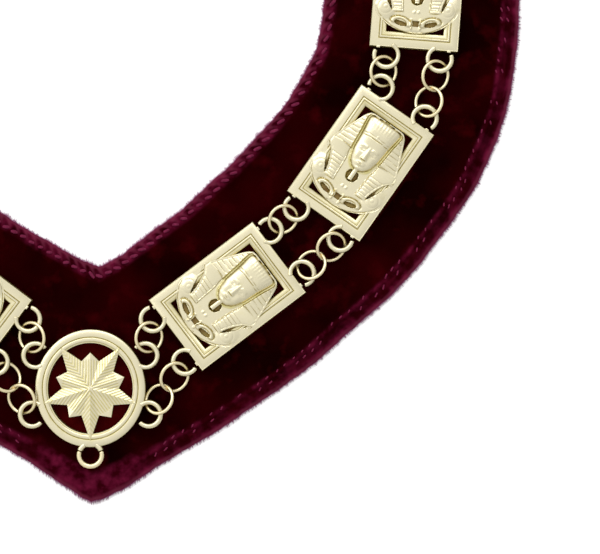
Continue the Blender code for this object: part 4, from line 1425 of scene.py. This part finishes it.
def star_rule(around, along):
    turn = around * 2 * math.pi
    fifth = 2 * math.pi / 5
    from_long = (turn + math.pi / 2 + fifth / 2) % fifth - fifth / 2
    quarter = fifth / 4
    nearest = np.abs(from_long)
    long_angle = turn - from_long
    inner_wide, inner_tall = rim_wide - RIM_WIDTH, rim_tall - RIM_WIDTH
    long_reach = 1 / np.hypot(np.cos(long_angle) / inner_wide, np.sin(long_angle) / inner_tall)
    long_reach = long_reach / MM + STAR_TIP_ROOT
    on_long = nearest < quarter
    tip = np.where(on_long, long_reach, STAR_SHORT)
    off = np.where(on_long, nearest, 2 * quarter - nearest)
    cut = STAR_VALLEY * math.sin(quarter)
    drop = tip - STAR_VALLEY * math.cos(quarter)
    reach = tip * cut / (cut * np.cos(off) + drop * np.sin(off))
    top = along <= STAR_TOP
    share = np.where(top, along / STAR_TOP, np.where(along < 0.999, 1.0, 0.0))
    radius = share * reach
    valley_share = np.clip(np.sin(off) * reach / cut, 0, 1)
    edge_height = STAR_TIP_HEIGHT + (STAR_VALLEY_HEIGHT - STAR_TIP_HEIGHT) * valley_share
    height = STAR_CENTRE_HEIGHT + (edge_height - STAR_CENTRE_HEIGHT) * share
    short_angle = fifth / 2 - nearest
    beside = radius * np.sin(short_angle)
    wave = np.abs((beside / GROOVE_PITCH) % 1.0 - 0.5) * 2
    groove = np.clip(1 - wave * 1.5, 0, 1)
    plain_tip = 1 - soft_step(radius, STAR_VALLEY - 0.6, STAR_VALLEY + 0.6) * (~on_long)
    ruled = groove * plain_tip * soft_step(share, 0.02, 0.08)
    height = height - GROOVE_DEPTH * ruled
    wall = np.clip((along - STAR_TOP) / 0.08, 0, 1)
    height = np.where(top, height, height + (STAR_FLOOR_HEIGHT - height) * wall)
    # painted shade in the grooves, and on the wall and floor
    hollow = np.where(top, 0.45 * ruled, 0.85)
    x, y = radius * np.cos(turn) * MM, radius * np.sin(turn) * MM
    return np.stack([x, y, frame_top + height * MM], axis=1), hollow


print("points of the star's sheet:", (STAR_ROWS + 1) * (STAR_COLUMNS + 1))

# %% [markdown]
# The roundel's own four loops lie at the height of the plaques' loops, each on a line from the
# middle at its own angle. Below the rim two lugs hold the ends of the badge's loop.

# %% The whole roundel
# Each row: angle in degrees above level, right or left arm, and side of the loop's free end
ROUNDEL_LOOPS = [(31.0, 1, 1), (31.0, -1, -1), (-24.0, 1, -1), (-24.0, -1, 1)]
JEWEL_RADIUS = 5.7 * MM
JEWEL_WIRE = 2.6 * MM
JEWEL_DROP = 3.8 * MM
LUG_WIRE = 2.9 * MM
SEAM_ANGLE = math.radians(21.0)
LUG_ROOT_ANGLE = math.radians(62.0)


def roundel_bmesh():
    bm = rim_bmesh()
    add_bmesh(bm, bent_sheet(STAR_COLUMNS, STAR_ROWS, star_rule))
    for degrees, arm, free in ROUNDEL_LOOPS:
        angle = math.radians(degrees)
        radius = 1 / math.hypot(math.cos(angle) / rim_wide, math.sin(angle) / rim_tall)
        distance = radius + LOOP_REACH
        place = Vector((arm * distance * math.cos(angle), distance * math.sin(angle), 0))
        turn = Matrix.Rotation(math.atan2(place.y, place.x) - math.pi / 2, 4, "Z")
        lift = Matrix.Translation((place.x, place.y, loop_height))
        add_bmesh(bm, open_loop(free), lift @ turn)
    centre = Matrix.Translation((0, -rim_tall - JEWEL_DROP, loop_height))
    for low, high in (
        (SEAM_ANGLE, LUG_ROOT_ANGLE),
        (math.pi - LUG_ROOT_ANGLE, math.pi - SEAM_ANGLE),
    ):
        add_bmesh(bm, bent_wire(JEWEL_RADIUS, LUG_WIRE, low, high, 10, 18), centre)
    return bm


bm = roundel_bmesh()
bmesh.ops.translate(bm, vec=roundel_place, verts=bm.verts)
roundel_mesh = finish_mesh(bm, "roundel", gilt_cast, 42)
add_piece("cast_roundel", roundel_mesh, "gilt_metal", "centre_roundel")
print("roundel faces:", len(roundel_mesh.polygons))

# %% [markdown]
# The badge's loop is bent round until its two ends all but meet the lugs. The fine seam that is
# left on either side is what shows that it is a piece of its own.

# %% The badge's loop
seam = SEAM_ANGLE - CLEARANCE / JEWEL_RADIUS
bm = bmesh.new()
jewel_wire = bent_wire(JEWEL_RADIUS, JEWEL_WIRE, -math.pi - seam, seam, 48, 18)
jewel_place = (0, roundel_place.y - rim_tall - JEWEL_DROP, loop_height)
add_bmesh(bm, jewel_wire, Matrix.Translation(jewel_place))
jewel_mesh = finish_mesh(bm, "jewel_loop", gilt_wire, 42)
add_piece("wire_jewel_loop", jewel_mesh, "gilt_metal", "jewel_loop")
print("badge's loop faces:", len(jewel_mesh.polygons))
